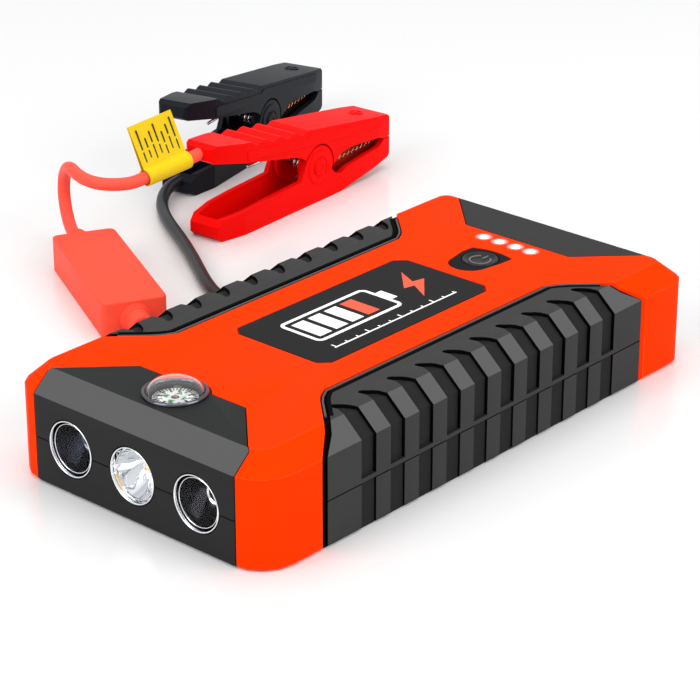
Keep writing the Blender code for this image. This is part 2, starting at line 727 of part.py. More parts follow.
def usb_sockets():
    """Two steel shells, each with a plastic tongue in its upper half."""
    for number, y in enumerate(USB_YS, start=1):
        shell = box(f"usb_socket_{number}", (73.0, y - 6.6, SOCKET_Z - 2.85),
                    (LENGTH / 2 - 0.3, y + 6.6, SOCKET_Z + 2.85))
        cut(shell, box("mouth", (75.0, y - 6.1, SOCKET_Z - 2.35), (95.0, y + 6.1, SOCKET_Z + 2.35)))
        join(shell, box("tongue", (74.0, y - 5.5, SOCKET_Z + 0.2), (86.0, y + 5.5, SOCKET_Z + 1.8)))
        finished(shell, "steel")


def charge_socket():
    outer = rounded_rectangle(4.5, 1.6, 1.5, 4, (CHARGE_Y, SOCKET_Z))
    inner = rounded_rectangle(4.1, 1.2, 1.1, 4, (CHARGE_Y, SOCKET_Z))
    shell = extrude("charge_socket", outer, 79.0, LENGTH / 2 - 0.3, "x")
    cut(shell, extrude("mouth", inner, 80.0, 95.0, "x"))
    join(shell, box("tongue", (79.5, CHARGE_Y - 3.0, SOCKET_Z - 0.35),
                    (86.4, CHARGE_Y + 3.0, SOCKET_Z + 0.35)))
    finished(shell, "steel")


def socket_cover():
    """The rubber flap over the jump outlet, hung on a barrel along its top edge."""
    inner = LENGTH / 2 + GAP - COVER_AXIS_X
    outline = rounded_rectangle(11.2, 7.0, 1.6, 3, (0.0, -9.3))
    plate = extrude("socket_cover", outline, inner, inner + 1.8, "x")
    join(plate, box("neck", (inner, -9.0, -3.0), (inner + 1.6, 9.0, 0.0)))
    join(plate, extrude("barrel", circle((0.0, 0.0), 1.05, 16), -9.0, 9.0, "y"))
    join(plate, extrude("axle", circle((0.0, 0.0), 0.45, 12), -11.2, 11.2, "y"))
    join(plate, box("finger_tab", (inner + 0.2, -4.0, -18.2), (inner + 2.6, 4.0, -15.9)))
    plate.location = Vector((COVER_AXIS_X, JUMP_Y, COVER_AXIS_Z)) * MM
    finished(plate, "button_rubber")


# ---------------------------------------------------------------- clamps

def lower_lever_outline():
    """Side view of the lower lever about the pivot: a flat back, a handle, a pivot ear and a jaw."""
    ear = arc((0.0, 0.0), EAR_RADIUS, -22, 160, 12)
    back = -PIVOT_HEIGHT
    return [(-47.2, back), (11.0, back), (38.2, -7.6), (40.0, -5.8), (39.4, -0.65), (35.6, -0.65),
            (33.0, -2.3), (15.0, -4.2), (11.5, -5.6), (8.6, -4.6)] + ear + [
            (-9.4, -2.6), (-28.0, -3.4), (-46.6, -4.8), (-49.0, -7.0), (-49.0, -10.4)]


def upper_back(along_lever):
    """Height of the upper lever's straight back above the pivot."""
    return 13.2 - 0.148 * along_lever


def upper_lever_outline():
    """Side view of the upper lever: a handle with finger waves, the pivot ear and the long upper jaw."""
    wave = []
    steps = 8 * WAVE_COUNT
    for i in range(steps + 1):
        x = WAVE_START + WAVE_PITCH * i / 8
        wave.append((x, upper_back(x) - 0.7 * (1.0 - math.cos(i * math.pi / 4))))
    ear = arc((0.0, 0.0), EAR_RADIUS - 0.3, 150, 345, 12)
    return [(-50.0, 14.8), (-26.0, 9.6), (-12.0, 6.6), (-9.2, 5.6)] + ear + [
            (8.8, -0.6), (12.5, 1.7), (18.0, 2.1), (32.0, 0.95), (35.6, -0.3), (39.4, -0.3),
            (40.8, 1.4), (40.4, 5.4), (38.0, upper_back(38.0))] + list(reversed(wave)) + [
            (-48.6, upper_back(-48.6)), (-50.8, 19.4), (-51.2, 15.8)]


def lever_plan(grow):
    """Plan of both levers: parallel sides that draw in towards the tail and a little at the tip."""
    half = CLAMP_WIDTH / 2 + grow
    side = [(-51.4 - grow, 4.0 + grow), (-50.0 - grow, 5.6 + grow), (-38.0, half), (31.0, half),
            (39.2 + grow, half - 0.8), (41.0 + grow, half - 2.4)]
    return side + [(x, -y) for x, y in reversed(side)]


def channel(name, outline, half, grow):
    """The hollow of a lever: a side view pushed across, kept inside the lever's plan."""
    hollow = extrude(name, outline, -half, half, "y")
    return keep(hollow, extrude("plan", lever_plan(grow), -30.0, 30.0))


def clamp_levers(colour, finish):
    half = CLAMP_WIDTH / 2
    inner = half - CLAMP_WALL
    lower = extrude(f"{colour}_lower_lever", lower_lever_outline(), -half, half, "y")
    keep(lower, extrude("plan", lever_plan(0.0), -30.0, 30.0))
    low_hollow = [(-46.8, 20.0), (-46.8, -10.2), (10.8, -10.2), (37.0, -6.2), (37.0, 20.0)]
    cut(lower, channel("hollow", low_hollow, inner, -CLAMP_WALL))
    upper = extrude(f"{colour}_upper_lever", upper_lever_outline(), -half, half, "y")
    keep(upper, extrude("plan", lever_plan(0.0), -30.0, 30.0))
    for low, high in ((-half - 1.0, -inner + 0.35), (inner - 0.35, half + 1.0)):
        cut(upper, extrude("ear_room", circle((0.0, 0.0), EAR_RADIUS + 0.5, 32), low, high, "y"))
    high_hollow = [(-47.0, 17.6), (-35.0, 15.4), (-4.0, 10.6), (37.8, 5.4), (37.8, -12.0),
                   (-47.0, -12.0)]
    cut(upper, channel("hollow", high_hollow, inner - 1.8, -CLAMP_WALL))
    for lever in (lower, upper):
        cut(lever, extrude("rivet_hole", circle((0.0, 0.0), 1.8, 16), -half - 1.0, half + 1.0, "y"))
        finished(lever, finish)
    return [lower, upper]


def toothed_outline(root, start, end, tooth, count, direction):
    """A strip whose edge is cut into teeth that point up or down."""
    outline = [(start, root(start) - direction * 2.6), (start, root(start))]
    pitch = (end - start) / count
    for i in range(count):
        x = start + pitch * i
        outline.append((x + pitch * 0.5, root(x) + direction * tooth))
        outline.append((x + pitch, root(x + pitch)))
    outline.append((end, root(end) - direction * 2.6))
    return outline


def clamp_jaws(colour):
    """Copper strips inside both jaws, teeth facing each other."""
    lower = toothed_outline(lambda x: -2.8 + 0.045 * (x - 13.0), 13.0, 36.6, 1.2, 10, 1.0)
    upper = toothed_outline(lambda x: 1.8 - 0.040 * (x - 13.0), 13.0, 36.6, -1.2, 10, -1.0)
    half = CLAMP_WIDTH / 2 - 2 * CLAMP_WALL - 0.3
    jaws = []
    for word, outline in (("lower", lower), ("upper", upper)):
        jaw = extrude(f"{colour}_{word}_jaw", outline, -half, half, "y")
        jaws.append(finished(jaw, "copper"))
    return jaws


def clamp_rivet(colour):
    half = CLAMP_WIDTH / 2
    profile = [(0.0, -half - 0.9), (2.0, -half - 0.9), (2.8, -half - 0.35), (1.5, -half - 0.3),
               (1.5, half + 0.3), (2.8, half + 0.35), (2.0, half + 0.9), (0.0, half + 0.9)]
    return finished(turned(f"{colour}_rivet", profile, (0.0, 0.0, 0.0), "y", 16), "steel")


def clamp_spring(colour):
    """A torsion spring round the rivet, one leg along each handle."""
    wire = 1.1
    radius = 2.6
    turns = 3
    points = [(-28.0, -2.6, -9.0), (-19.0, -2.6, -7.9), (-8.0, -2.6, -4.8)]
    steps = 8 * turns
    for i in range(steps + 1):
        angle = math.radians(240.0 + 360.0 * turns * i / steps - 70.0 * i / steps)
        points.append((radius * math.cos(angle), -2.2 + 4.4 * i / steps, radius * math.sin(angle)))
    points += [(-7.0, 2.6, 4.2), (-15.0, 2.6, 4.8), (-24.0, 2.6, 4.6)]
    return tube(f"{colour}_spring", points, wire, "steel")


def clamp(colour, finish, place):
    """A whole clamp lying on the back of its lower lever."""
    x, y, heading = place
    pieces = clamp_levers(colour, finish) + clamp_jaws(colour)
    pieces += [clamp_rivet(colour), clamp_spring(colour)]
    for piece in pieces:
        piece.location = Vector((x, y, PIVOT_HEIGHT)) * MM
        piece.rotation_euler = (0.0, 0.0, math.radians(heading))


# ---------------------------------------------------------------- leads

def place_on_box(piece):
    piece.location = Vector((BOX_CENTRE[0], BOX_CENTRE[1], 0.0)) * MM
    piece.rotation_euler = (0.0, 0.0, math.radians(BOX_HEADING))
    return piece


def protection_box():
    """The box in the red lead: two half shells with a board inside and a sleeve at each end."""
    length, width, height = BOX_SIZE
    split = height / 2
    wall = 1.4
    for name, low, high in (("protection_box_lower", 0.0, split - GAP / 2),
                            ("protection_box_upper", split + GAP / 2, height)):
        shell = extrude(name, rounded_rectangle(length / 2, width / 2, 2.0, 3), 0.0, height)
        room = rounded_rectangle(length / 2 - wall, width / 2 - wall, 1.0, 2)
        cut(shell, extrude("room", room, wall, height - wall))
        for end in (-1, 1):
            x0, x1 = sorted((end * (length / 2 - 0.5), end * (length / 2 + RELIEF_LENGTH)))
            join(shell, extrude("sleeve", circle((0.0, split), 3.6, 20), x0, x1, "x"))
            x0, x1 = sorted((end * (length / 2 - 3.0), end * (length / 2 + RELIEF_LENGTH + 1.0)))
            cut(shell, extrude("lead_hole", circle((0.0, split), 1.2, 16), x0, x1, "x"))
        keep(shell, half_space("band", low, high))
        place_on_box(finished(shell, "lead_red"))
    board = box("protection_board", (-25.0, -7.4, 3.6), (25.0, 7.4, 5.0))
    join(board, box("diode", (-6.0, -4.6, 4.6), (8.0, 4.6, 8.6)))
    place_on_box(finished(board, "board_green"))


def plug():
    """The two-pole plug: a shell that tapers to the leads, and two brass pins."""
    x, y = PLUG_CENTRE
    shell = extrude("plug_body", rounded_rectangle(8.4, 4.9, 1.6, 3, (y, 5.2)), x - 7.0, x + 7.0, "x")
    for side in (-1, 1):
        middle = (y + side * PLUG_PITCH / 2, 5.2)
        sleeve = [[(x - 15.0, *point) for point in circle(middle, 3.2, 20)],
                  [(x - 6.5, *point) for point in circle(middle, 3.9, 20)]]
        join(shell, loft("sleeve", sleeve))
        cut(shell, extrude("pin_hole", circle(middle, 2.9, 20), x - 2.0, x + 9.0, "x"))
    finished(shell, "plug_blue")
    for number, side in enumerate((-1, 1), start=1):
        place = (0.0, y + side * PLUG_PITCH / 2, 5.2)
        profile = [(0.0, x - 1.7), (2.5, x - 1.7), (2.5, x + 13.5), (1.7, x + 14.6), (0.0, x + 14.6)]
        finished(turned(f"plug_pin_{number}", profile, place, "x", 20), "brass")


def lead_tag():
    """A folded tag that stands up from the red lead."""
    reach = TAG_HALF_LENGTH
    bore_radius = LEAD_DIAMETER / 2 + TAG_SLACK
    sleeve = extrude("lead_tag", circle((0.0, 0.0), bore_radius + 0.5, 16), -reach, reach, "x")
    low = bore_radius - 0.1
    flag = [(-reach, low), (reach, low), (reach, TAG_HEIGHT), (-reach, TAG_HEIGHT)]
    join(sleeve, extrude("flag", flag, -0.4, 0.4, "y"))
    cut(sleeve, extrude("bore", circle((0.0, 0.0), bore_radius, 16), -reach - 3.0, reach + 3.0, "x"))
    sleeve.location = Vector(TAG_CENTRE) * MM
    sleeve.rotation_euler = [math.radians(angle) for angle in TAG_TURN]
    finished(sleeve, "tag_yellow")


def leads():
    spacing = LEAD_DIAMETER * 0.8
    for name, route, finish in (("red_lead_plug_side", RED_PLUG_ROUTE, "lead_red"),
                                ("red_lead_clamp_side", RED_CLAMP_ROUTE, "lead_red"),
                                ("black_lead", BLACK_ROUTE, "lead_black")):
        tube(name, smooth_route(route, spacing), LEAD_DIAMETER, finish)


def build():
    clear_scene()
    upper_case()
    lower_case()
    case_screws()
    grip_pads()
    front_panels()
    lamps()
    lamp_board()
    compass()
    badge_plate()
    button()
    charge_lights()
    battery_cells()
    main_board()
    rear_panel()
    jump_socket()
    usb_sockets()
    charge_socket()
    socket_cover()
    clamp("red", "clamp_red", RED_CLAMP_PLACE)
    clamp("black", "clamp_black", BLACK_CLAMP_PLACE)
    protection_box()
    plug()
    lead_tag()
    leads()
    bpy.context.view_layer.update()


build()
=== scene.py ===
import math

import bmesh
import bpy
from mathutils import Euler, Matrix, Vector


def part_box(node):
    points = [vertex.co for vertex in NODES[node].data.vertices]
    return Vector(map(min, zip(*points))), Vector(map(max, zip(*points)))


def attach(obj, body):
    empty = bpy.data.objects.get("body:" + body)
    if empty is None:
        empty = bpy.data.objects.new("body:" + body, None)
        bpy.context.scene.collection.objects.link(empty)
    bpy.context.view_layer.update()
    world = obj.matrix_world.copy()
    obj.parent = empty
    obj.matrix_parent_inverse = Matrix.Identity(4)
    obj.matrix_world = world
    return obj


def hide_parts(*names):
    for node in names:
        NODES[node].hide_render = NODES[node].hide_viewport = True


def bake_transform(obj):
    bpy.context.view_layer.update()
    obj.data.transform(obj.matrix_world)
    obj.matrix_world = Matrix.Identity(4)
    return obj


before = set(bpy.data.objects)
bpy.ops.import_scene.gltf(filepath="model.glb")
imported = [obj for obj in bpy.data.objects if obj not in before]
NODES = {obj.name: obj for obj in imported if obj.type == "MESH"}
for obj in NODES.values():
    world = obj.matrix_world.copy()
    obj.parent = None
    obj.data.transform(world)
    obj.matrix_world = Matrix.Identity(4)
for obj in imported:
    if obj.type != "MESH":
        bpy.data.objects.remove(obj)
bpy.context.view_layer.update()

MM = 0.001
PACK = "pack"

# The pack's own measures, from the frame, in metres
CASE_LOW, CASE_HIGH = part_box("upper_case")
TOP = CASE_HIGH.z
HALF_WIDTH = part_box("left_grip_upper")[1].y
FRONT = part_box("front_panel_upper")[0].x
SEAM = (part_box("lower_case")[1].z + CASE_LOW.z) / 2
# How far the slope round the top runs inwards and down
CHAMFER_IN = 0.0060
CHAMFER_DOWN = 0.0053


def middle(node):
    """The middle of a node's box."""
    low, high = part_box(node)
    return (low + high) / 2


# ---------------------------------------------------------------- camera, light and backdrop

# Place in metres, lens in millimetres, heading and drop in degrees
CAMERA_PLACE = (-0.49002, -0.43035, 0.31166)
CAMERA_LENS = 135.74
CAMERA_HEADING = 41.62
CAMERA_DROP = 24.22
LIGHT_TARGET = Vector((0.03, 0.04, 0.0))
WORLD_STRENGTH = 0.85

# Soft boxes: direction from the pack, distance, size and power
LIGHT_BOXES = (
    ("end_box", (-0.95, 0.10, 0.50), 1.2, 0.8, 7.0),
    ("side_box", (0.20, -0.95, 0.50), 1.2, 0.8, 7.0),
    ("top_box", (0.05, 0.0, 1.0), 1.4, 1.2, 8.0),
)


def aim(azimuth, drop):
    """The direction that looks along azimuth, from +X towards +Y, and down by drop, in degrees."""
    a = math.radians(azimuth)
    e = math.radians(drop)
    return Vector((math.cos(a) * math.cos(e), math.sin(a) * math.cos(e), -math.sin(e)))


def make_camera():
    data = bpy.data.cameras.new("camera")
    data.lens = CAMERA_LENS
    data.sensor_width = 36.0
    data.clip_start = 0.01
    data.clip_end = 20.0
    camera = new_object("camera", data)
    camera.location = CAMERA_PLACE
    camera.rotation_mode = "QUATERNION"
    camera.rotation_quaternion = aim(CAMERA_HEADING, CAMERA_DROP).to_track_quat("-Z", "Y")
    bpy.context.scene.camera = camera


def make_boxes_of_light():
    for name, direction, distance, size, power in LIGHT_BOXES:
        data = bpy.data.lights.new(name, "AREA")
        data.shape = "SQUARE"
        data.size = size
        data.energy = power
        toward = Vector(direction).normalized()
        light = new_object(name, data)
        light.location = LIGHT_TARGET + toward * distance
        light.rotation_mode = "QUATERNION"
        light.rotation_quaternion = (-toward).to_track_quat("-Z", "Y")


def make_world():
    """An even white studio, a little darker towards the horizon."""
    world = bpy.data.worlds.new("studio")
    bpy.context.scene.world = world
    world.use_nodes = True
    tree = world.node_tree
    tree.nodes.clear()
    out = tree.nodes.new("ShaderNodeOutputWorld")
    back = tree.nodes.new("ShaderNodeBackground")
    ramp = tree.nodes.new("ShaderNodeValToRGB")
    split = tree.nodes.new("ShaderNodeSeparateXYZ")
    coords = tree.nodes.new("ShaderNodeTexCoord")
    link(tree, coords, "Generated", split, "Vector")
    link(tree, split, "Z", ramp, "Fac")
    ramp.color_ramp.elements[0].position = 0.0
    ramp.color_ramp.elements[0].color = (0.80, 0.80, 0.81, 1.0)
    ramp.color_ramp.elements[1].position = 0.75
    ramp.color_ramp.elements[1].color = (1.0, 1.0, 1.0, 1.0)
    link(tree, ramp, "Color", back, "Color")
    back.inputs["Strength"].default_value = WORLD_STRENGTH
    link(tree, back, "Background", out, "Surface")


# ---------------------------------------------------------------- materials

def link(tree, source, output, target, socket):
    tree.links.new(source.outputs[output], target.inputs[socket])


def surface(name, colour, roughness, metallic=0.0, specular=0.5, mottle=0.05, mottle_scale=60.0,
            rough_swing=0.05, grain=0.25, grain_scale=2600.0, grain_depth=0.00004,
            transmission=0.0, ior=1.45, edge=1.0):
    """A moulded or metal surface: its colour drifts a little, its gloss varies, and a fine grain
    breaks up the light. Edge tints the gloss, in a metal where it is seen at a low angle."""
    made = bpy.data.materials.new(name)
    made.use_nodes = True
    tree = made.node_tree
    shader = tree.nodes["Principled BSDF"]
    coords = tree.nodes.new("ShaderNodeTexCoord")
    drift = tree.nodes.new("ShaderNodeTexNoise")
    drift.inputs["Scale"].default_value = mottle_scale
    drift.inputs["Detail"].default_value = 5.0
    link(tree, coords, "Object", drift, "Vector")
    mix = tree.nodes.new("ShaderNodeMix")
    mix.data_type = "RGBA"
    low = [max(0.0, c * (1.0 - mottle)) for c in colour]
    high = [min(1.0, c * (1.0 + mottle)) for c in colour]
    mix.inputs["A"].default_value = (*low, 1.0)
    mix.inputs["B"].default_value = (*high, 1.0)
    link(tree, drift, "Fac", mix, "Factor")
    link(tree, mix, "Result", shader, "Base Color")
    gloss = tree.nodes.new("ShaderNodeMapRange")
    gloss.inputs["To Min"].default_value = max(0.02, roughness - rough_swing)
    gloss.inputs["To Max"].default_value = min(1.0, roughness + rough_swing)
    link(tree, drift, "Fac", gloss, "Value")
    link(tree, gloss, "Result", shader, "Roughness")
    fine = tree.nodes.new("ShaderNodeTexNoise")
    fine.inputs["Scale"].default_value = grain_scale
    fine.inputs["Detail"].default_value = 3.0
    link(tree, coords, "Object", fine, "Vector")
    bump = tree.nodes.new("ShaderNodeBump")
    bump.inputs["Strength"].default_value = grain
    bump.inputs["Distance"].default_value = grain_depth
    link(tree, fine, "Fac", bump, "Height")
    link(tree, bump, "Normal", shader, "Normal")
    shader.inputs["Metallic"].default_value = metallic
    shader.inputs["Specular IOR Level"].default_value = specular
    shader.inputs["IOR"].default_value = ior
    shader.inputs["Transmission Weight"].default_value = transmission
    shader.inputs["Specular Tint"].default_value = (edge, edge, edge, 1.0)
    return made


def glow(made, colour, strength):
    """Let a surface shine by itself."""
    shader = made.node_tree.nodes["Principled BSDF"]
    shader.inputs["Emission Color"].default_value = (*colour, 1.0)
    shader.inputs["Emission Strength"].default_value = strength
    return made


def add_painted_glow(made, spots, colour, inner, outer):
    """A soft painted glow on a surface round each spot, standing in for the light that lit windows throw on
    the plastic beside them.
    """
    tree = made.node_tree
    shader = tree.nodes["Principled BSDF"]
    coords = tree.nodes.new("ShaderNodeTexCoord")
    total = None
    for spot in spots:
        gap = tree.nodes.new("ShaderNodeVectorMath")
        gap.operation = "DISTANCE"
        link(tree, coords, "Object", gap, 0)
        gap.inputs[1].default_value = spot
        fade = tree.nodes.new("ShaderNodeMapRange")
        fade.interpolation_type = "SMOOTHSTEP"
        fade.inputs["From Min"].default_value = inner
        fade.inputs["From Max"].default_value = outer
        fade.inputs["To Min"].default_value = 1.0
        fade.inputs["To Max"].default_value = 0.0
        link(tree, gap, "Value", fade, "Value")
        if total is None:
            total = fade
            continue
        most = tree.nodes.new("ShaderNodeMath")
        most.operation = "MAXIMUM"
        link(tree, total, 0, most, 0)
        link(tree, fade, 0, most, 1)
        total = most
    tint = tree.nodes.new("ShaderNodeMix")
    tint.data_type = "RGBA"
    tint.inputs["A"].default_value = (0.0, 0.0, 0.0, 1.0)
    tint.inputs["B"].default_value = (*colour, 1.0)
    link(tree, total, 0, tint, "Factor")
    link(tree, tint, "Result", shader, "Emission Color")
    shader.inputs["Emission Strength"].default_value = 1.0
    return made


# The four lit windows on the top
LIGHT_YS = (0.0088, 0.0031, -0.0027, -0.0081)
LIGHT_X = middle("charge_light_bar").x

ORANGE = surface("orange_plastic", (1.0, 0.034, 0.0), 0.5, specular=0.015, mottle=0.015, grain=0.3,
                 grain_scale=2200.0)
# A lighter orange for the shells' rounded edges: a painted highlight.
ORANGE_EDGE_HIGHLIGHT = surface("orange_painted_edge_highlight", (1.0, 0.10, 0.02), 0.4, specular=0.2, mottle=0.02, grain=0.1)
FRONT_FACE = surface("front_plastic", (0.017, 0.017, 0.017), 0.5, specular=0.10, mottle=0.05, grain=0.4,
                     grain_scale=2400.0)
# The top faces of the end panels are copies of the front plastic, darker on the front panels as painted shade
# and lighter on the rear panel as painted light.
PANEL_TOP_SHADE = surface("dark_plastic", (0.014, 0.015, 0.015), 0.5, specular=0.10, mottle=0.05, grain=0.4,
               grain_scale=2400.0)
CAP_TOP_LIGHT = surface("cap_top_painted_light", (0.026, 0.026, 0.026), 0.5, specular=0.10, mottle=0.05, grain=0.4,
                  grain_scale=2400.0)
# A lighter grey for the sloped facets of the panels and grips and for the grip beads: a painted highlight.
FACET_HIGHLIGHT = surface("facet_painted_highlight", (0.078, 0.078, 0.078), 0.45, specular=0.10, mottle=0.04, grain=0.3,
                grain_scale=2400.0)
GRIP = surface("grip_rubber", (0.034, 0.034, 0.034), 0.55, specular=0.10, mottle=0.07, grain=0.6,
               grain_scale=1900.0)
# The groove floors are darker than the ribs: painted shade. The near black for groove walls and for a
# border's wall and floor is painted shadow.
GROOVE_SHADE = surface("groove_painted_shade", (0.017, 0.017, 0.017), 0.6, specular=0.05, mottle=0.10, grain=0.6,
                 grain_scale=1900.0)
SHADOW_BLACK = surface("black_painted_shadow", (0.002, 0.002, 0.002), 0.7, specular=0.02, mottle=0.10, grain=0.2)
BADGE = surface("badge_film", (0.011, 0.011, 0.011), 0.4, specular=0.05, mottle=0.05, grain=0.15)
MARK_WHITE = surface("mark_white", (0.90, 0.90, 0.90), 0.40, specular=0.1, mottle=0.02, grain=0.1)
MARK_ORANGE = surface("mark_orange", (0.85, 0.10, 0.05), 0.40, specular=0.1, mottle=0.03, grain=0.1)
MARK_GREY = surface("mark_grey", (0.11, 0.11, 0.11), 0.35, specular=0.4, mottle=0.05, grain=0.1)
BUTTON_RUBBER = surface("button_rubber", (0.009, 0.009, 0.010), 0.30, specular=0.22, mottle=0.08, grain=0.3)
BUTTON_DARK = surface("surround_plastic", (0.006, 0.006, 0.007), 0.5, specular=0.05, mottle=0.08, grain=0.3)
CHROME = surface("chrome", (0.90, 0.91, 0.93), 0.06, metallic=1.0, mottle=0.03, rough_swing=0.03,
                 grain=0.1, grain_scale=900.0)
# Darker copies of the chrome, for the compass ring, the left lamp's collar and the bowls of the left and
# right lamps: painted reflection.
CHROME_DARK_REFLECTION = surface("chrome_painted_dark_reflection", (0.13, 0.13, 0.15), 0.10, metallic=1.0, mottle=0.15,
                        mottle_scale=400.0, rough_swing=0.04, grain=0.1, grain_scale=900.0)
BOWL_BLUE_REFLECTION = surface("bowl_painted_blue_reflection", (0.028, 0.032, 0.050), 0.14, metallic=1.0, mottle=0.15,
                      mottle_scale=400.0, edge=0.3, rough_swing=0.05, grain=0.1, grain_scale=900.0)
BOWL_GREY_REFLECTION = surface("bowl_painted_grey_reflection", (0.05, 0.05, 0.058), 0.12, metallic=1.0, mottle=0.25,
                      mottle_scale=400.0, edge=0.3, rough_swing=0.05, grain=0.1, grain_scale=900.0)
GLASS_BLUE = surface("glass_blue", (0.006, 0.010, 0.030), 0.06, specular=0.8, mottle=0.1, grain=0.05)
GLASS_BLACK = surface("glass_black", (0.003, 0.003, 0.004), 0.05, specular=0.8, mottle=0.1, grain=0.05)
CLEAR = surface("clear_plastic", (0.97, 0.98, 0.99), 0.03, mottle=0.01, rough_swing=0.01, grain=0.02,
                transmission=1.0, ior=1.46)
LAMP_GLASS = surface("lamp_glass", (0.97, 0.98, 0.99), 0.03, mottle=0.01, rough_swing=0.01, grain=0.02,
                     transmission=1.0, ior=1.12)
BOWL_DARK = surface("bowl_dark", (0.03, 0.027, 0.025), 0.30, specular=0.4, mottle=0.1, grain=0.2)
CARD = surface("card_white", (0.82, 0.83, 0.80), 0.5, mottle=0.05, mottle_scale=400.0, grain=0.2)
INK = surface("card_ink", (0.03, 0.03, 0.03), 0.5, specular=0.1, mottle=0.1, grain=0.1)
GREEN = surface("card_green", (0.01, 0.30, 0.07), 0.5, mottle=0.1, grain=0.1)
BROWN = surface("pivot_bronze", (0.22, 0.11, 0.05), 0.3, metallic=0.8, mottle=0.1, grain=0.1)
BOARD = surface("board_green", (0.02, 0.15, 0.06), 0.45, mottle=0.25, mottle_scale=500.0, grain=0.3)
FOIL = surface("cell_foil", (0.62, 0.63, 0.65), 0.32, metallic=0.85, mottle=0.1, grain=0.5,
               grain_scale=700.0, grain_depth=0.0001)
STEEL = surface("steel", (0.62, 0.62, 0.63), 0.26, metallic=1.0, mottle=0.1, mottle_scale=300.0)
NYLON = surface("socket_nylon", (0.02, 0.02, 0.022), 0.5, mottle=0.1)
PLUG_BLUE = surface("plug_blue", (0.03, 0.10, 0.42), 0.42, mottle=0.08)
BRASS = surface("brass", (0.80, 0.58, 0.24), 0.22, metallic=1.0, mottle=0.1, mottle_scale=300.0)
CLAMP_RED = surface("clamp_red", (0.80, 0.003, 0.002), 0.34, specular=0.03, mottle=0.04,
                    mottle_scale=90.0, grain=0.2, grain_scale=1400.0)
CLAMP_BLACK = surface("clamp_black", (0.006, 0.008, 0.012), 0.34, specular=0.10, mottle=0.1,
                      mottle_scale=90.0, grain=0.2, grain_scale=1400.0)
LEAD_RED = surface("lead_red", (0.90, 0.085, 0.055), 0.42, specular=0.12, mottle=0.05, grain=0.5,
                   grain_scale=1500.0)
BOX_RED = surface("box_red", (0.88, 0.075, 0.040), 0.46, specular=0.08, mottle=0.04, grain=0.7,
                  grain_scale=1300.0)
LEAD_BLACK = surface("lead_black", (0.012, 0.013, 0.016), 0.34, specular=0.4, mottle=0.1, grain=0.3,
                     grain_scale=1500.0)
TAG_YELLOW = surface("tag_yellow", (0.72, 0.50, 0.008), 0.45, specular=0.1, mottle=0.05, grain=0.2)
COPPER = surface("copper", (0.80, 0.40, 0.26), 0.24, metallic=1.0, mottle=0.18, mottle_scale=500.0,
                 grain=0.4, grain_scale=1200.0)
LIT = glow(surface("light_pipe", (0.95, 0.96, 1.0), 0.3, mottle=0.01), (0.96, 0.96, 1.0), 3.0)
EMITTER = glow(surface("emitter_yellow", (0.95, 0.60, 0.12), 0.3, mottle=0.2, mottle_scale=900.0),
               (1.0, 0.45, 0.08), 0.6)
FLOOR = surface("floor_white", (0.74, 0.74, 0.74), 0.19, specular=0.6, mottle=0.01, grain=0.0,
                rough_swing=0.03, mottle_scale=3.0)
# A painted glow on the orange round the four lit windows.
add_painted_glow(ORANGE, [(LIGHT_X, y, TOP) for y in LIGHT_YS], (1.0, 0.80, 0.86), 0.0009, 0.0029)


# ---------------------------------------------------------------- building blocks

# Points nearer than this, in metres, are one, and edges that turn by more than this are corners
WELD = 0.000002
CORNER = math.radians(30.0)


def new_object(name, data):
    made = bpy.data.objects.new(name, data)
    bpy.context.scene.collection.objects.link(made)
    return made


def show(piece, material, body=PACK, replaces=()):
    """Give a piece its material, let it ride on a body and say which nodes it stands for."""
    if material is not None:
        piece.data.materials.clear()
        piece.data.materials.append(material)
    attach(piece, body)
    if replaces:
        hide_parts(*replaces)
    return piece


def mesh_object(name, points, faces, smooth_angle=35.0):
    """A mesh shaded smooth, but for edges sharper than the angle, in degrees."""
    mesh = bpy.data.meshes.new(name)
    mesh.from_pydata([Vector(p) for p in points], [], faces)
    work = bmesh.new()
    work.from_mesh(mesh)
    bmesh.ops.recalc_face_normals(work, faces=work.faces)
    work.to_mesh(mesh)
    work.free()
    mesh.shade_smooth()
    mesh.set_sharp_from_angle(angle=math.radians(smooth_angle))
    return new_object(name, mesh)


def soften(piece, width, segments=3, method="ANGLE"):
    """Round a piece's sharp edges."""
    bevel = piece.modifiers.new("edges", "BEVEL")
    bevel.width = width
    bevel.segments = segments
    bevel.limit_method = method
    bevel.angle_limit = CORNER
    bevel.harden_normals = True
    bevel.miter_outer = "MITER_ARC"
    return bevel


def apply_modifiers(piece):
    """Bake a piece's modifiers into its mesh."""
    bpy.context.view_layer.update()
    evaluated = piece.evaluated_get(bpy.context.evaluated_depsgraph_get())
    mesh = bpy.data.meshes.new_from_object(evaluated)
    piece.modifiers.clear()
    piece.data = mesh


def copied_mesh(node):
    """A node's surface with its flat faces put back together."""
    work = bmesh.new()
    work.from_mesh(NODES[node].data)
    bmesh.ops.remove_doubles(work, verts=work.verts, dist=WELD)
    bmesh.ops.dissolve_limit(work, angle_limit=math.radians(0.8), verts=work.verts, edges=work.edges)
    return work


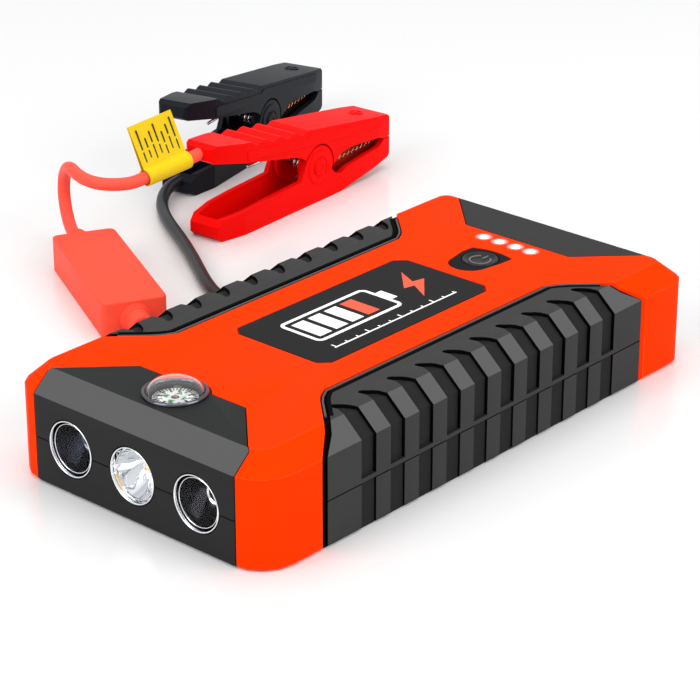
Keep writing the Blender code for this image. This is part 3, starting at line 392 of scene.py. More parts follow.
def fine_copy(node, materials, width, segments=3, body=PACK, shape=None, skip=None, paint_faces=None,
              edge_material=None):
    """A node's own form with rounded edges, in place of the node. Shape changes its points, skip names
    edges left sharp, and paint_faces picks each face's material, which on the grips and panels lays painted
    highlights and painted shade."""
    work = copied_mesh(node)
    if shape:
        shape(work)
    work.normal_update()
    sharp = work.edges.layers.float.new("bevel_weight_edge")
    for edge in work.edges:
        corner = len(edge.link_faces) == 2 and edge.calc_face_angle(0.0) > CORNER
        edge[sharp] = 1.0 if corner and not (skip and skip(edge)) else 0.0
    for face in work.faces:
        face.material_index = paint_faces(face) if paint_faces else 0
    mesh = bpy.data.meshes.new(node + "_fine")
    work.to_mesh(mesh)
    work.free()
    mesh.shade_smooth()
    mesh.set_sharp_from_angle(angle=math.radians(38.0))
    for material in materials:
        mesh.materials.append(material)
    piece = new_object(node + "_fine", mesh)
    bevel = soften(piece, width, segments, "WEIGHT")
    if edge_material is not None:
        bevel.material = edge_material
    return show(piece, None, body, [node])


def plain_copy(node, material, body=PACK):
    """A node's own rounded form, shaded smooth."""
    work = bmesh.new()
    work.from_mesh(NODES[node].data)
    bmesh.ops.remove_doubles(work, verts=work.verts, dist=WELD)
    mesh = bpy.data.meshes.new(node + "_smooth")
    work.to_mesh(mesh)
    work.free()
    mesh.shade_smooth()
    mesh.set_sharp_from_angle(angle=math.radians(60.0))
    return show(new_object(node + "_smooth", mesh), material, body, [node])


def arc(centre, radius, start, end, steps):
    """Points on a circle from one angle to another, in degrees, both included."""
    points = []
    for i in range(steps + 1):
        angle = math.radians(start + (end - start) * i / steps)
        points.append((centre[0] + radius * math.cos(angle), centre[1] + radius * math.sin(angle)))
    return points


def rectangle(x0, x1, y0, y1):
    return [(x0, y0), (x1, y0), (x1, y1), (x0, y1)]


def spoke(angle, start, end, half_width):
    """A thin radial mark."""
    out = Vector((math.cos(angle), math.sin(angle)))
    side = Vector((-out.y, out.x)) * half_width
    return [tuple(out * start - side), tuple(out * end - side), tuple(out * end + side),
            tuple(out * start + side)]


def along(axis, u, v, w):
    """The point at u and v in the plane across an axis and at w on it."""
    if axis == "x":
        return (w, u, v)
    if axis == "y":
        return (u, w, v)
    return (u, v, w)


def extruded_set(name, outlines, low, high, axis="z"):
    """Several outlines pushed along an axis, as one piece."""
    points = []
    faces = []
    for outline in outlines:
        count = len(outline)
        first = len(points)
        points += [along(axis, u, v, w) for w in (low, high) for u, v in outline]
        faces.append(tuple(range(first, first + count)))
        faces.append(tuple(range(first + count, first + 2 * count)))
        for i in range(count):
            j = (i + 1) % count
            faces.append((first + i, first + j, first + count + j, first + count + i))
    return mesh_object(name, points, faces)


def extruded(name, outline, low, high, axis="z"):
    return extruded_set(name, [outline], low, high, axis)


def turned(name, profile, place, axis="z", steps=64, ripple=None, smooth_angle=35.0):
    """A closed profile of (radius, height) turned round an axis. A ripple changes the radius with the
    angle."""
    points = []
    rings = []
    for radius, height in profile:
        if radius == 0.0:
            rings.append([len(points)])
            points.append(Vector(place) + Vector(along(axis, 0.0, 0.0, height)))
            continue
        rings.append(list(range(len(points), len(points) + steps)))
        for i in range(steps):
            angle = 2.0 * math.pi * i / steps
            reach = radius + (ripple(radius, angle) if ripple else 0.0)
            point = along(axis, reach * math.cos(angle), reach * math.sin(angle), height)
            points.append(Vector(place) + Vector(point))
    faces = []
    for k, ring in enumerate(rings):
        other = rings[(k + 1) % len(rings)]
        if len(ring) == 1 and len(other) == 1:
            continue
        for i in range(steps):
            j = (i + 1) % steps
            if len(ring) == 1:
                faces.append((ring[0], other[i], other[j]))
            elif len(other) == 1:
                faces.append((ring[i], ring[j], other[0]))
            else:
                faces.append((ring[i], ring[j], other[j], other[i]))
    return mesh_object(name, points, faces, smooth_angle)


def smooth_route(route, spacing):
    """Evenly spaced points on a Catmull-Rom curve through the route, both ends included."""
    knots = [Vector(point) * MM for point in route]
    ends = [knots[0] * 2 - knots[1]] + knots + [knots[-1] * 2 - knots[-2]]
    fine = []
    for k in range(len(knots) - 1):
        a, b, c, d = ends[k:k + 4]
        for i in range(24):
            t = i / 24.0
            fine.append(0.5 * (2 * b + (c - a) * t + (2 * a - 5 * b + 4 * c - d) * t * t
                               + (3 * b - a - 3 * c + d) * t * t * t))
    fine.append(knots[-1])
    lengths = [0.0]
    for k in range(len(fine) - 1):
        lengths.append(lengths[-1] + (fine[k + 1] - fine[k]).length)
    count = max(4, round(lengths[-1] / spacing))
    points = []
    k = 0
    for i in range(count + 1):
        wanted = lengths[-1] * i / count
        while k < len(lengths) - 2 and lengths[k + 1] < wanted:
            k += 1
        share = (wanted - lengths[k]) / max(lengths[k + 1] - lengths[k], 1e-9)
        points.append(fine[k].lerp(fine[k + 1], share))
    return points, lengths[-1]


def tube(name, points, diameter, resolution=5):
    """A round curve through points."""
    curve = bpy.data.curves.new(name, "CURVE")
    curve.dimensions = "3D"
    curve.bevel_depth = diameter / 2
    curve.bevel_resolution = resolution
    curve.use_fill_caps = True
    line = curve.splines.new("POLY")
    line.points.add(len(points) - 1)
    for knot, point in zip(line.points, points):
        knot.co = (*point, 1.0)
    line.use_smooth = True
    return new_object(name, curve)


def swept(name, points, radius, steps):
    """A round mesh along points, its cross section carried from each point to the next without twist."""
    count = len(points)
    tangents = []
    for i in range(count):
        step = points[min(i + 1, count - 1)] - points[max(i - 1, 0)]
        tangents.append(step.normalized())
    side = tangents[0].orthogonal().normalized()
    rings = []
    for tangent, point in zip(tangents, points):
        side = (side - tangent * side.dot(tangent)).normalized()
        other = tangent.cross(side)
        for k in range(steps):
            angle = 2.0 * math.pi * k / steps
            rings.append(point + (side * math.cos(angle) + other * math.sin(angle)) * radius)
    faces = [tuple(range(steps)), tuple(range((count - 1) * steps, count * steps))]
    for i in range(count - 1):
        for k in range(steps):
            n = (k + 1) % steps
            faces.append((i * steps + k, i * steps + n, (i + 1) * steps + n, (i + 1) * steps + k))
    return mesh_object(name, rings, faces, 50.0)


# ---------------------------------------------------------------- leads

LEAD_DIAMETER = 0.004
ROUTE_STEP = 0.0012
# The tag's place and turn in degrees, its half width, and how its loop and its ends stand from the lead
TAG_CENTRE = Vector((45.5, 121.3, 28.2)) * MM
TAG_TURN = (-22.0, -4.8, -2.8)
TAG_HALF = 0.0088
TAG_LOOP = 0.0028
TAG_END = 0.0164

# The same routes as the solid leads, in millimetres
RED_PLUG_ROUTE = [
    (-9.6, 75.9, 5.5), (-11.3, 72.7, 5.1), (-13.0, 69.0, 3.9), (-13.7, 65.2, 3.0), (-13.0, 61.2, 2.4),
    (-10.7, 57.6, 2.1), (-7.0, 54.8, 2.1), (-2.2, 53.4, 2.1), (6.0, 53.0, 2.1), (17.0, 53.0, 2.1),
    (29.0, 53.0, 2.1), (39.5, 53.0, 2.5), (49.0, 53.0, 3.7), (56.0, 53.0, 4.7), (61.7, 53.0, 5.2),
]
RED_CLAMP_ROUTE = [
    (25.7, 142.2, 5.5), (27.1, 144.8, 5.7), (29.5, 149.2, 7.4), (31.3, 152.6, 11.4),
    (31.9, 153.8, 16.8), (31.2, 152.4, 22.0), (29.3, 148.9, 25.9), (26.9, 144.4, 27.7),
    (24.9, 140.0, 27.8), (23.9, 135.0, 27.4), (24.8, 130.0, 27.0), (27.6, 125.7, 26.9),
    (31.8, 122.8, 27.0), (36.6, 121.8, 27.5), (41.0, 121.5, 27.8), (45.5, 121.3, 28.2),
    (50.0, 121.1, 28.6), (53.5, 120.9, 28.9), (56.6, 120.8, 29.1),
]
BLACK_ROUTE = [
    (81.6, 155.5, 4.5), (78.0, 154.4, 4.1), (73.4, 151.9, 3.2), (68.8, 147.8, 2.4), (64.4, 142.2, 2.1),
    (60.2, 135.8, 2.1), (56.2, 129.0, 2.1), (52.0, 121.8, 2.1), (47.4, 114.4, 2.1), (42.6, 107.0, 2.1),
    (37.6, 99.6, 2.1), (32.8, 92.2, 2.1), (28.8, 84.6, 2.1), (27.0, 76.8, 2.1), (29.0, 69.2, 2.1),
    (34.6, 63.8, 2.1), (42.6, 61.3, 2.6), (50.6, 61.0, 3.9), (56.5, 61.0, 4.7), (61.7, 61.0, 5.2),
]
# Each lead runs on into the tail of its clamp's lever
RED_LEAD_TAIL = (61.2, 121.15, 29.45)
BLACK_LEAD_TAIL = (85.4, 156.4, 4.6)


def follow_lever(piece, material, replaces):
    """A piece of the red lead or its tag: give it its material, hide the nodes it stands for and bake its
    place into its mesh.
    """
    piece.data.materials.append(material)
    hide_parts(*replaces)
    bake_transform(piece)
    return piece


def make_tag():
    """A folded yellow tag on the lead, with plain printed rules on both faces."""
    tilt = Euler([math.radians(a) for a in TAG_TURN])
    turn = Matrix.Translation(TAG_CENTRE) @ tilt.to_matrix().to_4x4()
    angles = [math.radians(15 + 330 * i / 24) for i in range(25)]
    loop = [(TAG_LOOP * math.sin(a), TAG_LOOP * math.cos(a)) for a in angles]
    folded = [(0.00035, TAG_END)] + loop + [(-0.00035, TAG_END)]
    inner = [(y * 0.82, z * 0.82 if z < 0.01 else z) for y, z in reversed(folded)]
    inner[0] = (-0.00006, TAG_END)
    inner[-1] = (0.00006, TAG_END)
    tag = extruded("tag_sheet", folded + inner, -TAG_HALF, TAG_HALF, "x")
    tag.data.transform(turn)
    soften(tag, 0.00008, 2)
    apply_modifiers(tag)
    rules = []
    for column in range(7):
        x = -0.0068 + 0.00225 * column
        low = 0.0042 + 0.0009 * (column % 2)
        high = 0.0146 - 0.0016 * ((column * 5) % 3)
        cut = low + (high - low) * (0.35 + 0.1 * (column % 3))
        rules.append(rectangle(x, x + 0.00042, low, cut - 0.0004))
        rules.append(rectangle(x, x + 0.00042, cut + 0.0004, high))
    print_marks = extruded_set("tag_rules", rules, -0.00072, 0.00072, "y")
    print_marks.data.transform(turn)
    return (follow_lever(tag, TAG_YELLOW, ["lead_tag"]),
            follow_lever(print_marks, INK, []))


def make_leads(plug_pieces, box_pieces):
    """The red lead on both sides of its box, with the tag, and the black lead."""
    plug_side, length = smooth_route(RED_PLUG_ROUTE, ROUTE_STEP)
    red_a = tube("red_lead_a", plug_side, LEAD_DIAMETER)
    show(red_a, LEAD_RED, PACK, ["red_lead_plug_side"])

    clamp_side, length = smooth_route(RED_CLAMP_ROUTE + [RED_LEAD_TAIL], ROUTE_STEP)
    red_b = swept("red_lead_b", clamp_side, LEAD_DIAMETER / 2, 24)
    follow_lever(red_b, LEAD_RED, ["red_lead_clamp_side"])
    tag_pieces = make_tag()

    black_points, length = smooth_route([BLACK_LEAD_TAIL] + BLACK_ROUTE, ROUTE_STEP)
    black = tube("black_lead_cord", black_points, LEAD_DIAMETER)
    show(black, LEAD_BLACK, PACK, ["black_lead"])


# ---------------------------------------------------------------- case, panels and grips

# Depth below a grip's skin, in metres: less than the first is a rib, and between the others is the
# floor of a border
RIB_DEPTH = 0.0002
BORDER_DEPTHS = (0.0006, 0.0008)
# How near a seam a point is brought to it, and how near it counts as on it
SEAM_REACH = 0.0003
SEAM_TOUCH = 0.00001


def facet_gap(point):
    """How far a point lies inside the sloping edge along the pack's side."""
    inwards = HALF_WIDTH - abs(point.y)
    down = TOP - CHAMFER_DOWN - point.z
    return (CHAMFER_DOWN * inwards + CHAMFER_IN * down) / math.hypot(CHAMFER_IN, CHAMFER_DOWN)


def grip_shade_and_highlight(face):
    """0 rib, 1 facet with a painted highlight, 2 groove floor darkened as painted shade, 3 wall of a groove,
    or a border's wall or floor, in black as painted shadow.
    """
    centre = face.calc_center_median()
    normal = face.normal
    depth = min(HALF_WIDTH - abs(centre.y), TOP - centre.z, facet_gap(centre))
    sloped = 0.5 < normal.z < 0.95 and abs(normal.y) > 0.3
    skin = normal.z > 0.95 or abs(normal.y) > 0.95 or sloped
    if not skin:
        return 3
    if depth < RIB_DEPTH:
        return 1 if sloped else 0
    return 3 if BORDER_DEPTHS[0] < depth < BORDER_DEPTHS[1] else 2


def panel_shade_and_highlight(face):
    """0 flat, 1 facet with a painted highlight, 2 the top face, darker on the front panels as painted shade
    and lighter on the rear panel as painted light.
    """
    if 0.5 < face.normal.z < 0.95 and abs(face.normal.x) > 0.3:
        return 1
    return 2 if face.normal.z > 0.95 else 0


def close_at(level):
    """A change of shape that brings a moulding's half up to the seam at a level, so that no line shows."""
    def close(work):
        for vert in work.verts:
            if abs(vert.co.z - level) < SEAM_REACH:
                vert.co.z = level
    return close


def edges_at(level):
    """A test that picks the edges on the seam at a level."""
    def lies_there(edge):
        return all(abs(vert.co.z - level) < SEAM_TOUCH for vert in edge.verts)
    return lies_there


def make_case():
    """The shells, the end panels and the grips."""
    for node in ("upper_case", "lower_case"):
        # The rounded edges take the lighter orange, a painted highlight.
        fine_copy(node, [ORANGE, ORANGE_EDGE_HIGHLIGHT], 0.00035, shape=close_at(SEAM),
                  skip=edges_at(SEAM), edge_material=1)
    for node in ("front_panel_upper", "front_panel_lower"):
        fine_copy(node, [FRONT_FACE, FACET_HIGHLIGHT, PANEL_TOP_SHADE], 0.0002, paint_faces=panel_shade_and_highlight)
    fine_copy("rear_panel", [FRONT_FACE, FACET_HIGHLIGHT, CAP_TOP_LIGHT], 0.0003, paint_faces=panel_shade_and_highlight)
    for side in ("right", "left"):
        for level in ("upper", "lower"):
            fine_copy(f"{side}_grip_{level}", [GRIP, FACET_HIGHLIGHT, GROOVE_SHADE, SHADOW_BLACK], 0.00014,
                      paint_faces=grip_shade_and_highlight)


# One end of a grip's inner edge, from its corner towards the middle; the other end mirrors it
GRIP_EDGE = ((0.0562, 0.0369), (0.0506, 0.0309), (0.0482, 0.0288), (0.0449, 0.0270))

# The bright line's radius and drop, and how far inside the edge the dark line lies. The bright line's grey is
# a painted highlight and the dark line is painted shade.
BEAD_RADIUS = 0.0003
BEAD_DROP = 0.00022
LINE_INSETS = (0.0009, 0.0020)


def grip_edge(inset):
    """The inner edge of a grip on the top face, moved into the grip."""
    plan = list(GRIP_EDGE) + [(-x, y) for x, y in reversed(GRIP_EDGE)]
    moved = []
    for i, (x, y) in enumerate(plan):
        before = Vector(plan[max(i - 1, 0)])
        after = Vector(plan[min(i + 1, len(plan) - 1)])
        step = (after - before).normalized()
        moved.append((x + step.y * inset, y - step.x * inset))
    return moved


def make_beads():
    """A thin raised line along the inner edge of each grip's border, coloured as a painted highlight, and a
    flat black strip inside it that stands in for the shade there.
    """
    for side, word in ((-1, "right"), (1, "left")):
        route = [Vector((x, side * y, TOP - BEAD_DROP)) for x, y in grip_edge(0.0)]
        show(swept(f"{word}_grip_bead", route, BEAD_RADIUS, 10), FACET_HIGHLIGHT, PACK)
        near, far = [[(x, side * y) for x, y in grip_edge(inset)] for inset in LINE_INSETS]
        strips = [[near[i], near[i + 1], far[i + 1], far[i]] for i in range(len(near) - 1)]
        # A black strip on the grip's top along its border: painted shade.
        line = extruded_set(f"{word}_grip_shade_line", strips, TOP - 0.0009, TOP + 0.00004)
        show(line, SHADOW_BLACK, PACK)


# ---------------------------------------------------------------- top face

BUTTON = middle("power_button")


def rounded_rectangle(x, y, half_x, half_y, radius):
    """An outline round (x, y), with six points to a corner."""
    outline = []
    for turn, (sx, sy) in enumerate(((1, 1), (-1, 1), (-1, -1), (1, -1))):
        centre = (x + sx * (half_x - radius), y + sy * (half_y - radius))
        outline += arc(centre, radius, 90 * turn, 90 * turn + 90, 5)
    return outline


def frame_outline(x, y, half_x, half_y, radius, thickness):
    """The strips of a rounded frame, each a closed outline."""
    outer = rounded_rectangle(x, y, half_x, half_y, radius)
    inner = rounded_rectangle(x, y, half_x - thickness, half_y - thickness, radius - thickness)
    count = len(outer)
    return [[outer[i], outer[(i + 1) % count], inner[(i + 1) % count], inner[i]] for i in range(count)]


def make_badge():
    """The plate with a plain drawing of a battery, a bolt and a gauge."""
    fine_copy("badge_plate", [BADGE], 0.00015)
    low = TOP - 0.00002
    high = TOP + 0.00006
    cell = frame_outline(-0.0070, 0.0018, 0.0170, 0.0078, 0.0022, 0.0011)
    cell.append(rectangle(0.0102, 0.0125, -0.0012, 0.0048))
    for i in range(3):
        x = -0.0212 + 0.0064 * i
        cell.append(rectangle(x, x + 0.0046, -0.0034, 0.0070))
    show(extruded_set("badge_cell", cell, low, high), MARK_WHITE, PACK)
    bolt = [(0.0262, 0.0092), (0.0180, 0.0012), (0.0214, 0.0004), (0.0176, -0.0064), (0.0270, 0.0016),
            (0.0232, 0.0026)]
    bar = rectangle(-0.0020, 0.0026, -0.0034, 0.0070)
    show(extruded_set("badge_bolt", [bolt, bar], low, high), MARK_ORANGE, PACK)
    gauge = [rectangle(-0.0240, 0.0255, -0.0114, -0.0109)]
    for i in range(12):
        x = -0.0236 + 0.00440 * i
        tall = 0.0016 if i % 3 == 0 else 0.0008
        gauge.append(rectangle(x, x + 0.0004, -0.0109, -0.0109 + tall))
    show(extruded_set("badge_gauge", gauge, low, high), MARK_WHITE, PACK)


def make_button():
    """A dished cap with a raised power mark, in its shield-shaped surround."""
    fine_copy("button_surround", [BUTTON_DARK], 0.0003)
    place = (BUTTON.x, BUTTON.y, TOP)
    profile = [(0.0, -0.0058), (0.0018, -0.0058), (0.0020, -0.0055), (0.0020, -0.0015), (0.0052, -0.0015),
               (0.0052, -0.0003), (0.0051, -0.0001), (0.0049, 0.0), (0.00465, 0.0), (0.0044, -0.0001),
               (0.0038, -0.0004), (0.0028, -0.00058), (0.0014, -0.00066), (0.0, -0.00068)]
    cap = turned("power_cap", profile, place, steps=72, smooth_angle=50.0)
    show(cap, BUTTON_RUBBER, "power_button_body", ["power_button"])
    open_by = 34.0
    ring = arc((0.0, 0.0), 0.00325, open_by, 360 - open_by, 32)
    ring += list(reversed(arc((0.0, 0.0), 0.00275, open_by, 360 - open_by, 32)))
    stroke = rectangle(0.0012, 0.0037, -0.00026, 0.00026)
    for name, outline in (("power_mark", stroke), ("power_ring", ring)):
        piece = extruded(name, outline, TOP - 0.0008, TOP - 0.00028)
        piece.data.transform(Matrix.Translation((BUTTON.x, BUTTON.y, 0.0)))
        soften(piece, 0.00006, 2)
        show(piece, MARK_GREY, "power_button_body")


def make_lights():
    """The clear bar below the top and the four lit windows it feeds."""
    fine_copy("charge_light_bar", [LIT], 0.00008)
    for number, y in enumerate(LIGHT_YS, start=1):
        radius = 0.00120 if number == 1 else 0.00125
        profile = [(0.0, 0.0), (radius, 0.0), (radius * 0.92, 0.00012), (radius * 0.6, 0.00024),
                   (0.0, 0.0003)]
        dome = turned(f"charge_light_{number}", profile, (LIGHT_X, y, TOP - 0.00002), steps=40,
                      smooth_angle=70.0)
        show(dome, LIT, PACK)


# ---------------------------------------------------------------- lamps and compass

LAMP_Z = middle("middle_lamp_lens").z
# Profiles of a lamp's turned pieces, as (radius, depth behind the front face)
LAMP_RIM = [(0.00774, 0.0022), (0.00774, 0.0001), (0.00766, -0.00006), (0.00754, -0.0001),
            (0.00742, -0.00004), (0.00734, 0.0002), (0.00732, 0.0009), (0.00736, 0.0022)]
LAMP_RING = [(0.00676, 0.0010), (0.00670, 0.00075), (0.00660, 0.0007), (0.00650, 0.00078),
             (0.00648, 0.0010), (0.00652, 0.0013), (0.00672, 0.0013)]
LAMP_EYE = [(0.0, 0.0060), (0.0012, 0.0062), (0.0021, 0.0070), (0.0024, 0.0080), (0.0024, 0.0084),
            (0.0, 0.0084)]
LAMP_COLLAR = [(0.0024, 0.0070), (0.0028, 0.0067), (0.0032, 0.0070), (0.0032, 0.0078), (0.0024, 0.0078)]
LAMP_LENS = [(0.0, 0.00078), (0.0030, 0.00080), (0.0055, 0.00086), (0.0064, 0.0009), (0.00645, 0.0010),
             (0.0064, 0.00108), (0.0055, 0.00106), (0.0030, 0.00100), (0.0, 0.00098)]
# The bowl's radius at its bottom, how much wider it is at its mouth, and how deep it is
BOWL_BOTTOM = 0.0019
BOWL_FLARE = 0.0048
BOWL_DEPTH = 0.0066
BOWL_STEPS = 14


def make_lamp(word, bowl_material, eye_material, collar_material, petals):
    """A lamp: a double rim, a rippled bowl, the light source at its bottom and a clear front."""
    place = (0.0, middle(f"{word}_lamp_lens").y, LAMP_Z)

    def part(name, profile, steps, smooth_angle, material, replaces=(), ripple=None):
        placed = [(radius, FRONT + depth) for radius, depth in profile]
        piece = turned(f"{word}_lamp_{name}", placed, place, "x", steps, ripple, smooth_angle)
        show(piece, material, PACK, replaces)

    def ripple(radius, angle):
        if radius < 0.0022 or radius > 0.0068:
            return 0.0
        sway = (radius - BOWL_BOTTOM) / BOWL_FLARE
        crease = 0.5 + 0.5 * math.cos(petals * angle + 5.0 * sway)
        return -0.00055 * math.sin(math.pi * min(1.0, 1.1 * sway)) * crease ** 2

    wall = []
    back = []
    for i in range(BOWL_STEPS + 1):
        share = i / BOWL_STEPS
        radius = BOWL_BOTTOM + BOWL_FLARE * math.sqrt(1.0 - share)
        wall.append((radius, 0.0016 + BOWL_DEPTH * share))
        back.append((radius + 0.0006, 0.0022 + BOWL_DEPTH * share))

    part("rim", LAMP_RIM, 96, 60.0, CHROME)
    part("ring", LAMP_RING, 96, 60.0, CHROME)
    part("bowl", wall + list(reversed(back)), 120, 60.0, bowl_material,
         replaces=[f"{word}_lamp_reflector"], ripple=ripple)
    part("eye", LAMP_EYE, 48, 60.0, eye_material)
    part("collar", LAMP_COLLAR, 48, 50.0, collar_material)
    part("glass", LAMP_LENS, 64, 50.0, LAMP_GLASS, [f"{word}_lamp_lens"])


COMPASS = middle("compass_dome")
CARD_TOP = 0.0293
CARD_BOTTOM = 0.0282
# How deep the card's marks are set in, and how far they stand out
MARK_ROOT = 0.00004
MARK_STAND = 0.00005


def make_compass():
    """A clear dome on a chrome ring darkened as painted reflection, over a card with a dial that turns on a
    pivot.
    """
    place = (COMPASS.x, COMPASS.y, 0.0)
    ring = [(0.0086, 0.03045), (0.0086, 0.0310), (0.0084, 0.0313), (0.0080, 0.0314), (0.0077, 0.0312),
            (0.0076, 0.0308), (0.0076, 0.03045)]
    rim = turned("compass_ring", ring, place, steps=96, smooth_angle=60.0)
    show(rim, CHROME_DARK_REFLECTION, PACK)
    angles = [math.radians(90.0 * i / 12) for i in range(13)]
    outer = [(0.0076 * math.cos(a), 0.0308 + 0.0038 * math.sin(a)) for a in angles]
    inner = [(0.0070 * math.cos(a), 0.0308 + 0.0032 * math.sin(a)) for a in reversed(angles)]
    outer[-1] = (0.0, outer[-1][1])
    inner[0] = (0.0, inner[0][1])
    dome = turned("compass_glass", outer + inner, place, steps=72, smooth_angle=60.0)
    show(dome, CLEAR, PACK, ["compass_dome"])
    fine_copy("compass_bowl", [BOWL_DARK], 0.0001)
    card = [(0.0, CARD_BOTTOM), (0.0006, CARD_BOTTOM), (0.0009, 0.0286), (0.0059, 0.0286), (0.0060, 0.0287),
            (0.0060, 0.0292), (0.0059, CARD_TOP), (0.0, CARD_TOP)]
    body = "compass_card_body"
    show(turned("compass_dial", card, place, steps=72), CARD, body, ["compass_card"])
    marks = []
    for i in range(36):
        angle = math.radians(10.0 * i)
        start = 0.0034 if i % 3 == 0 else 0.0044
        marks.append(spoke(angle, start, 0.0058, 0.00018 if i % 3 else 0.00034))
    greens = []
    for i in range(4):
        angle = math.radians(90.0 * i + 20.0)
        along_card = Vector((math.cos(angle), math.sin(angle)))
        across = Vector((-along_card.y, along_card.x))
        greens.append([tuple(along_card * 0.0040), tuple(along_card * 0.0020 + across * 0.0010),
                       tuple(along_card * 0.0020 - across * 0.0010)])
    for name, outlines, material in (("dial_ticks", marks, INK), ("dial_points", greens, GREEN)):
        piece = extruded_set(name, outlines, CARD_TOP - MARK_ROOT, CARD_TOP + MARK_STAND)
        piece.data.transform(Matrix.Translation(place))
        show(piece, material, body)
    pivot = [(0.0, CARD_TOP - 0.0001), (0.0011, CARD_TOP - 0.0001), (0.0010, CARD_TOP + 0.0002),
             (0.0005, CARD_TOP + 0.0004), (0.0004, 0.0299), (0.0, 0.0300)]
    show(turned("dial_pivot", pivot, place, steps=32), BROWN, body)


# ---------------------------------------------------------------- clamps

PIVOT_HEIGHT = 0.012
CLAMP_HALF = 0.008
# Colour, the pivot's place, heading in degrees and plastic
CLAMPS = (
    ("red", 0.1100, 0.1246, 4.0, CLAMP_RED),
    ("black", 0.1315, 0.1679, 14.0, CLAMP_BLACK),
)
BACK_SLOPE = 0.148
# The band on the upper lever's sides, as (place along the lever, drop below its back)
BAND = [(-0.0365, 0.0062), (0.0330, 0.0042), (0.0330, 0.0009), (-0.0045, 0.0012), (-0.0060, 0.0024),
        (-0.0350, 0.0026), (-0.0365, 0.0034)]
# How far the band stands out from the lever's side, and how deep it is set in
BAND_STAND = 0.0003
BAND_ROOT = 0.0005
# Where the round stud lies along the lever
STUD_PLACE = 0.0300
# The pivot's cap, as (radius, how far it stands out from the clamp's side)
PIVOT_CAP = [(0.0, -0.0006), (0.0058, -0.0006), (0.0058, 0.0001), (0.0055, 0.0004), (0.0036, 0.0004),
             (0.0034, 0.0001), (0.0030, 0.0001), (0.0028, 0.0006), (0.0024, 0.0009), (0.0012, 0.0009),
             (0.0010, 0.0006), (0.0, 0.0006)]


def lever_back(along_lever):
    """The height of the upper lever's back over the pivot."""
    return 0.0132 - BACK_SLOPE * along_lever


def make_clamp(colour, x, y, heading, material):
    """A clamp's levers, jaws and spring, with bands, pivot caps, a pin and a stud of two pieces."""
    turn = Matrix.Translation((x, y, PIVOT_HEIGHT)) @ Matrix.Rotation(math.radians(heading), 4, "Z")
    lever = f"{colour}_lever_body"
    fine_copy(f"{colour}_lower_lever", [material], 0.00055, segments=4)
    fine_copy(f"{colour}_upper_lever", [material], 0.00055, segments=4, body=lever)
    fine_copy(f"{colour}_lower_jaw", [COPPER], 0.0001)
    fine_copy(f"{colour}_upper_jaw", [COPPER], 0.0001, body=lever)
    plain_copy(f"{colour}_spring", STEEL)

    outline = [(at, lever_back(at) - drop) for at, drop in BAND]
    for word, low, high in (("right", -CLAMP_HALF - BAND_STAND, -CLAMP_HALF + BAND_ROOT),
                            ("left", CLAMP_HALF - BAND_ROOT, CLAMP_HALF + BAND_STAND)):
        band = extruded(f"{colour}_{word}_band", outline, low, high, "y")
        band.data.transform(turn)
        soften(band, 0.00025, 3)
        show(band, material, lever)

    for word, way in (("right", -1), ("left", 1)):
        boss = [(radius, way * (CLAMP_HALF + reach)) for radius, reach in PIVOT_CAP]
        cap = turned(f"{colour}_{word}_cap", boss, (0.0, 0.0, 0.0), "y", 56)
        cap.data.transform(turn)
        soften(cap, 0.00012, 2)
        show(cap, material, PACK, [f"{colour}_rivet"] if way == 1 else ())
    rod = [(0.0, -CLAMP_HALF), (0.0015, -CLAMP_HALF), (0.0015, CLAMP_HALF), (0.0, CLAMP_HALF)]
    shaft = turned(f"{colour}_pin", rod, (0.0, 0.0, 0.0), "y", 32)
    shaft.data.transform(turn)
    show(shaft, STEEL, PACK)

    lean = Matrix.Rotation(math.atan(BACK_SLOPE), 4, "Y")
    tilt = Matrix.Translation((STUD_PLACE, 0.0, lever_back(STUD_PLACE))) @ lean
    ring = [(0.0026, -0.0003), (0.0026, 0.0001), (0.0024, 0.0003), (0.0021, 0.0003), (0.0019, 0.0001),
            (0.0019, -0.0003)]
    dot = [(0.0, -0.0003), (0.0009, -0.0003), (0.0009, 0.0001), (0.0006, 0.0003), (0.0, 0.0003)]
    for word, profile in (("ring", ring), ("dot", dot)):
        stud = turned(f"{colour}_back_{word}", profile, (0.0, 0.0, 0.0), steps=40)
        stud.data.transform(turn @ tilt)
        show(stud, material, lever)


# ---------------------------------------------------------------- plug and box

BOX_SPLIT = 0.0055
BOX_CENTRE = (0.008, 0.109, BOX_SPLIT)
BOX_HEADING = 62.0
PLUG_MIDDLE = middle("plug_body")


def make_box():
    """The protection box with a ribbed boot at each end."""
    pieces = []
    for node in ("protection_box_upper", "protection_box_lower"):
        pieces.append(fine_copy(node, [BOX_RED], 0.0007, segments=4, shape=close_at(BOX_SPLIT),
                                skip=edges_at(BOX_SPLIT)))
    turn = Matrix.Translation(BOX_CENTRE) @ Matrix.Rotation(math.radians(BOX_HEADING), 4, "Z")
    for word, way in (("near", -1), ("far", 1)):
        profile = [(0.0026, way * 0.0286), (0.0046, way * 0.0286), (0.0047, way * 0.0296)]
        for i in range(4):
            x = 0.0300 + 0.0018 * i
            radius = 0.0040 - 0.0003 * i
            neck = radius - 0.0005
            profile += [(radius, way * x), (radius, way * (x + 0.0009)), (neck, way * (x + 0.0011)),
                        (neck, way * (x + 0.0016))]
        profile += [(0.0027, way * 0.0374), (0.0024, way * 0.0376), (0.0021, way * 0.0374)]
        boot = turned(f"{word}_boot", profile, (0.0, 0.0, 0.0), "x", 40)
        boot.data.transform(turn)
        pieces.append(show(boot, BOX_RED, PACK))
    fine_copy("protection_board", [BOARD], 0.0001)
    return pieces


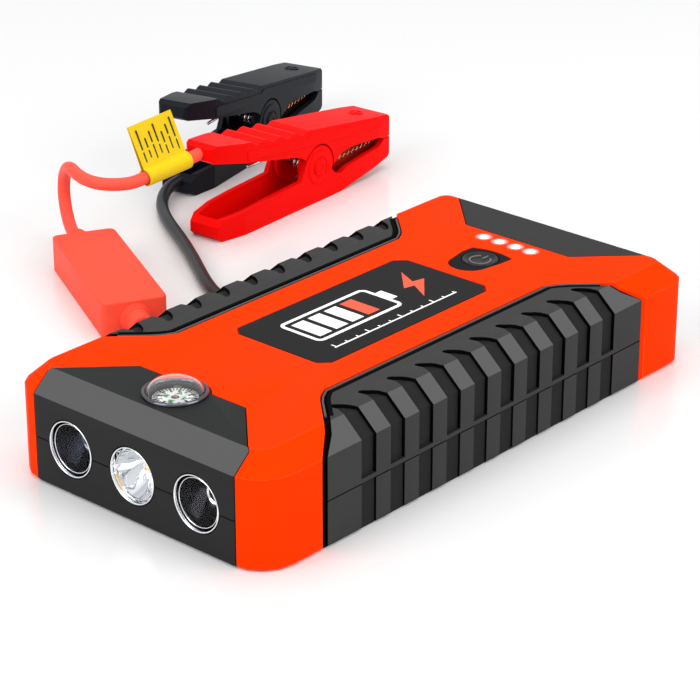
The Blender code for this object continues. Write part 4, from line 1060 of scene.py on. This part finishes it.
def make_plug():
    """The plug with its pins and the ribs of its grip."""
    pieces = [fine_copy("plug_body", [PLUG_BLUE], 0.0005)]
    for number in (1, 2):
        pieces.append(fine_copy(f"plug_pin_{number}", [BRASS], 0.0002))
    for i in range(4):
        x = PLUG_MIDDLE.x + 0.0005 + 0.0022 * i
        rib = extruded(f"plug_rib_{i + 1}", rounded_rectangle(PLUG_MIDDLE.y, 0.0052, 0.0086, 0.00505, 0.0018),
                       x, x + 0.0011, "x")
        soften(rib, 0.0002, 2)
        pieces.append(show(rib, PLUG_BLUE, PACK))
    return pieces


# ---------------------------------------------------------------- sockets and what is inside

def make_inside():
    """The screws, sockets, boards and cells, and the cover of the jump socket."""
    plain = (
        (STEEL, "steel", ("case_screw_1", "case_screw_2", "case_screw_3", "case_screw_4", "button_switch",
                          "usb_socket_1", "usb_socket_2", "charge_socket")),
        (BOARD, "board_green", ("lamp_board", "main_circuit_board")),
        (FOIL, "cell_foil", ("battery_cell_1", "battery_cell_2", "battery_cell_3")),
        (NYLON, "socket_nylon", ("jump_socket",)),
    )
    for material, slot, nodes in plain:
        for node in nodes:
            fine_copy(node, [material], 0.00012)
    fine_copy("socket_cover", [BUTTON_RUBBER], 0.0003, body="socket_cover_body")


# ---------------------------------------------------------------- floor and the whole scene

def make_floor():
    half = 2.0
    corners = [(-half, -half, 0.0), (half, -half, 0.0), (half, half, 0.0), (-half, half, 0.0)]
    floor = mesh_object("floor", corners, [(0, 1, 2, 3)])
    floor.data.materials.append(FLOOR)


def main():
    bpy.context.scene.view_settings.view_transform = "Standard"
    make_camera()
    make_leads(make_plug(), make_box())
    make_world()
    make_boxes_of_light()
    make_floor()
    make_case()
    make_beads()
    make_badge()
    make_button()
    make_lights()
    # The left and right lamps' bowls and the left lamp's collar are darkened chrome: painted reflection.
    make_lamp("left", BOWL_BLUE_REFLECTION, GLASS_BLUE, CHROME_DARK_REFLECTION, 3)
    make_lamp("middle", CHROME, EMITTER, CHROME, 5)
    make_lamp("right", BOWL_GREY_REFLECTION, GLASS_BLACK, CHROME, 4)
    make_compass()
    for clamp in CLAMPS:
        make_clamp(*clamp)
    make_inside()


main()
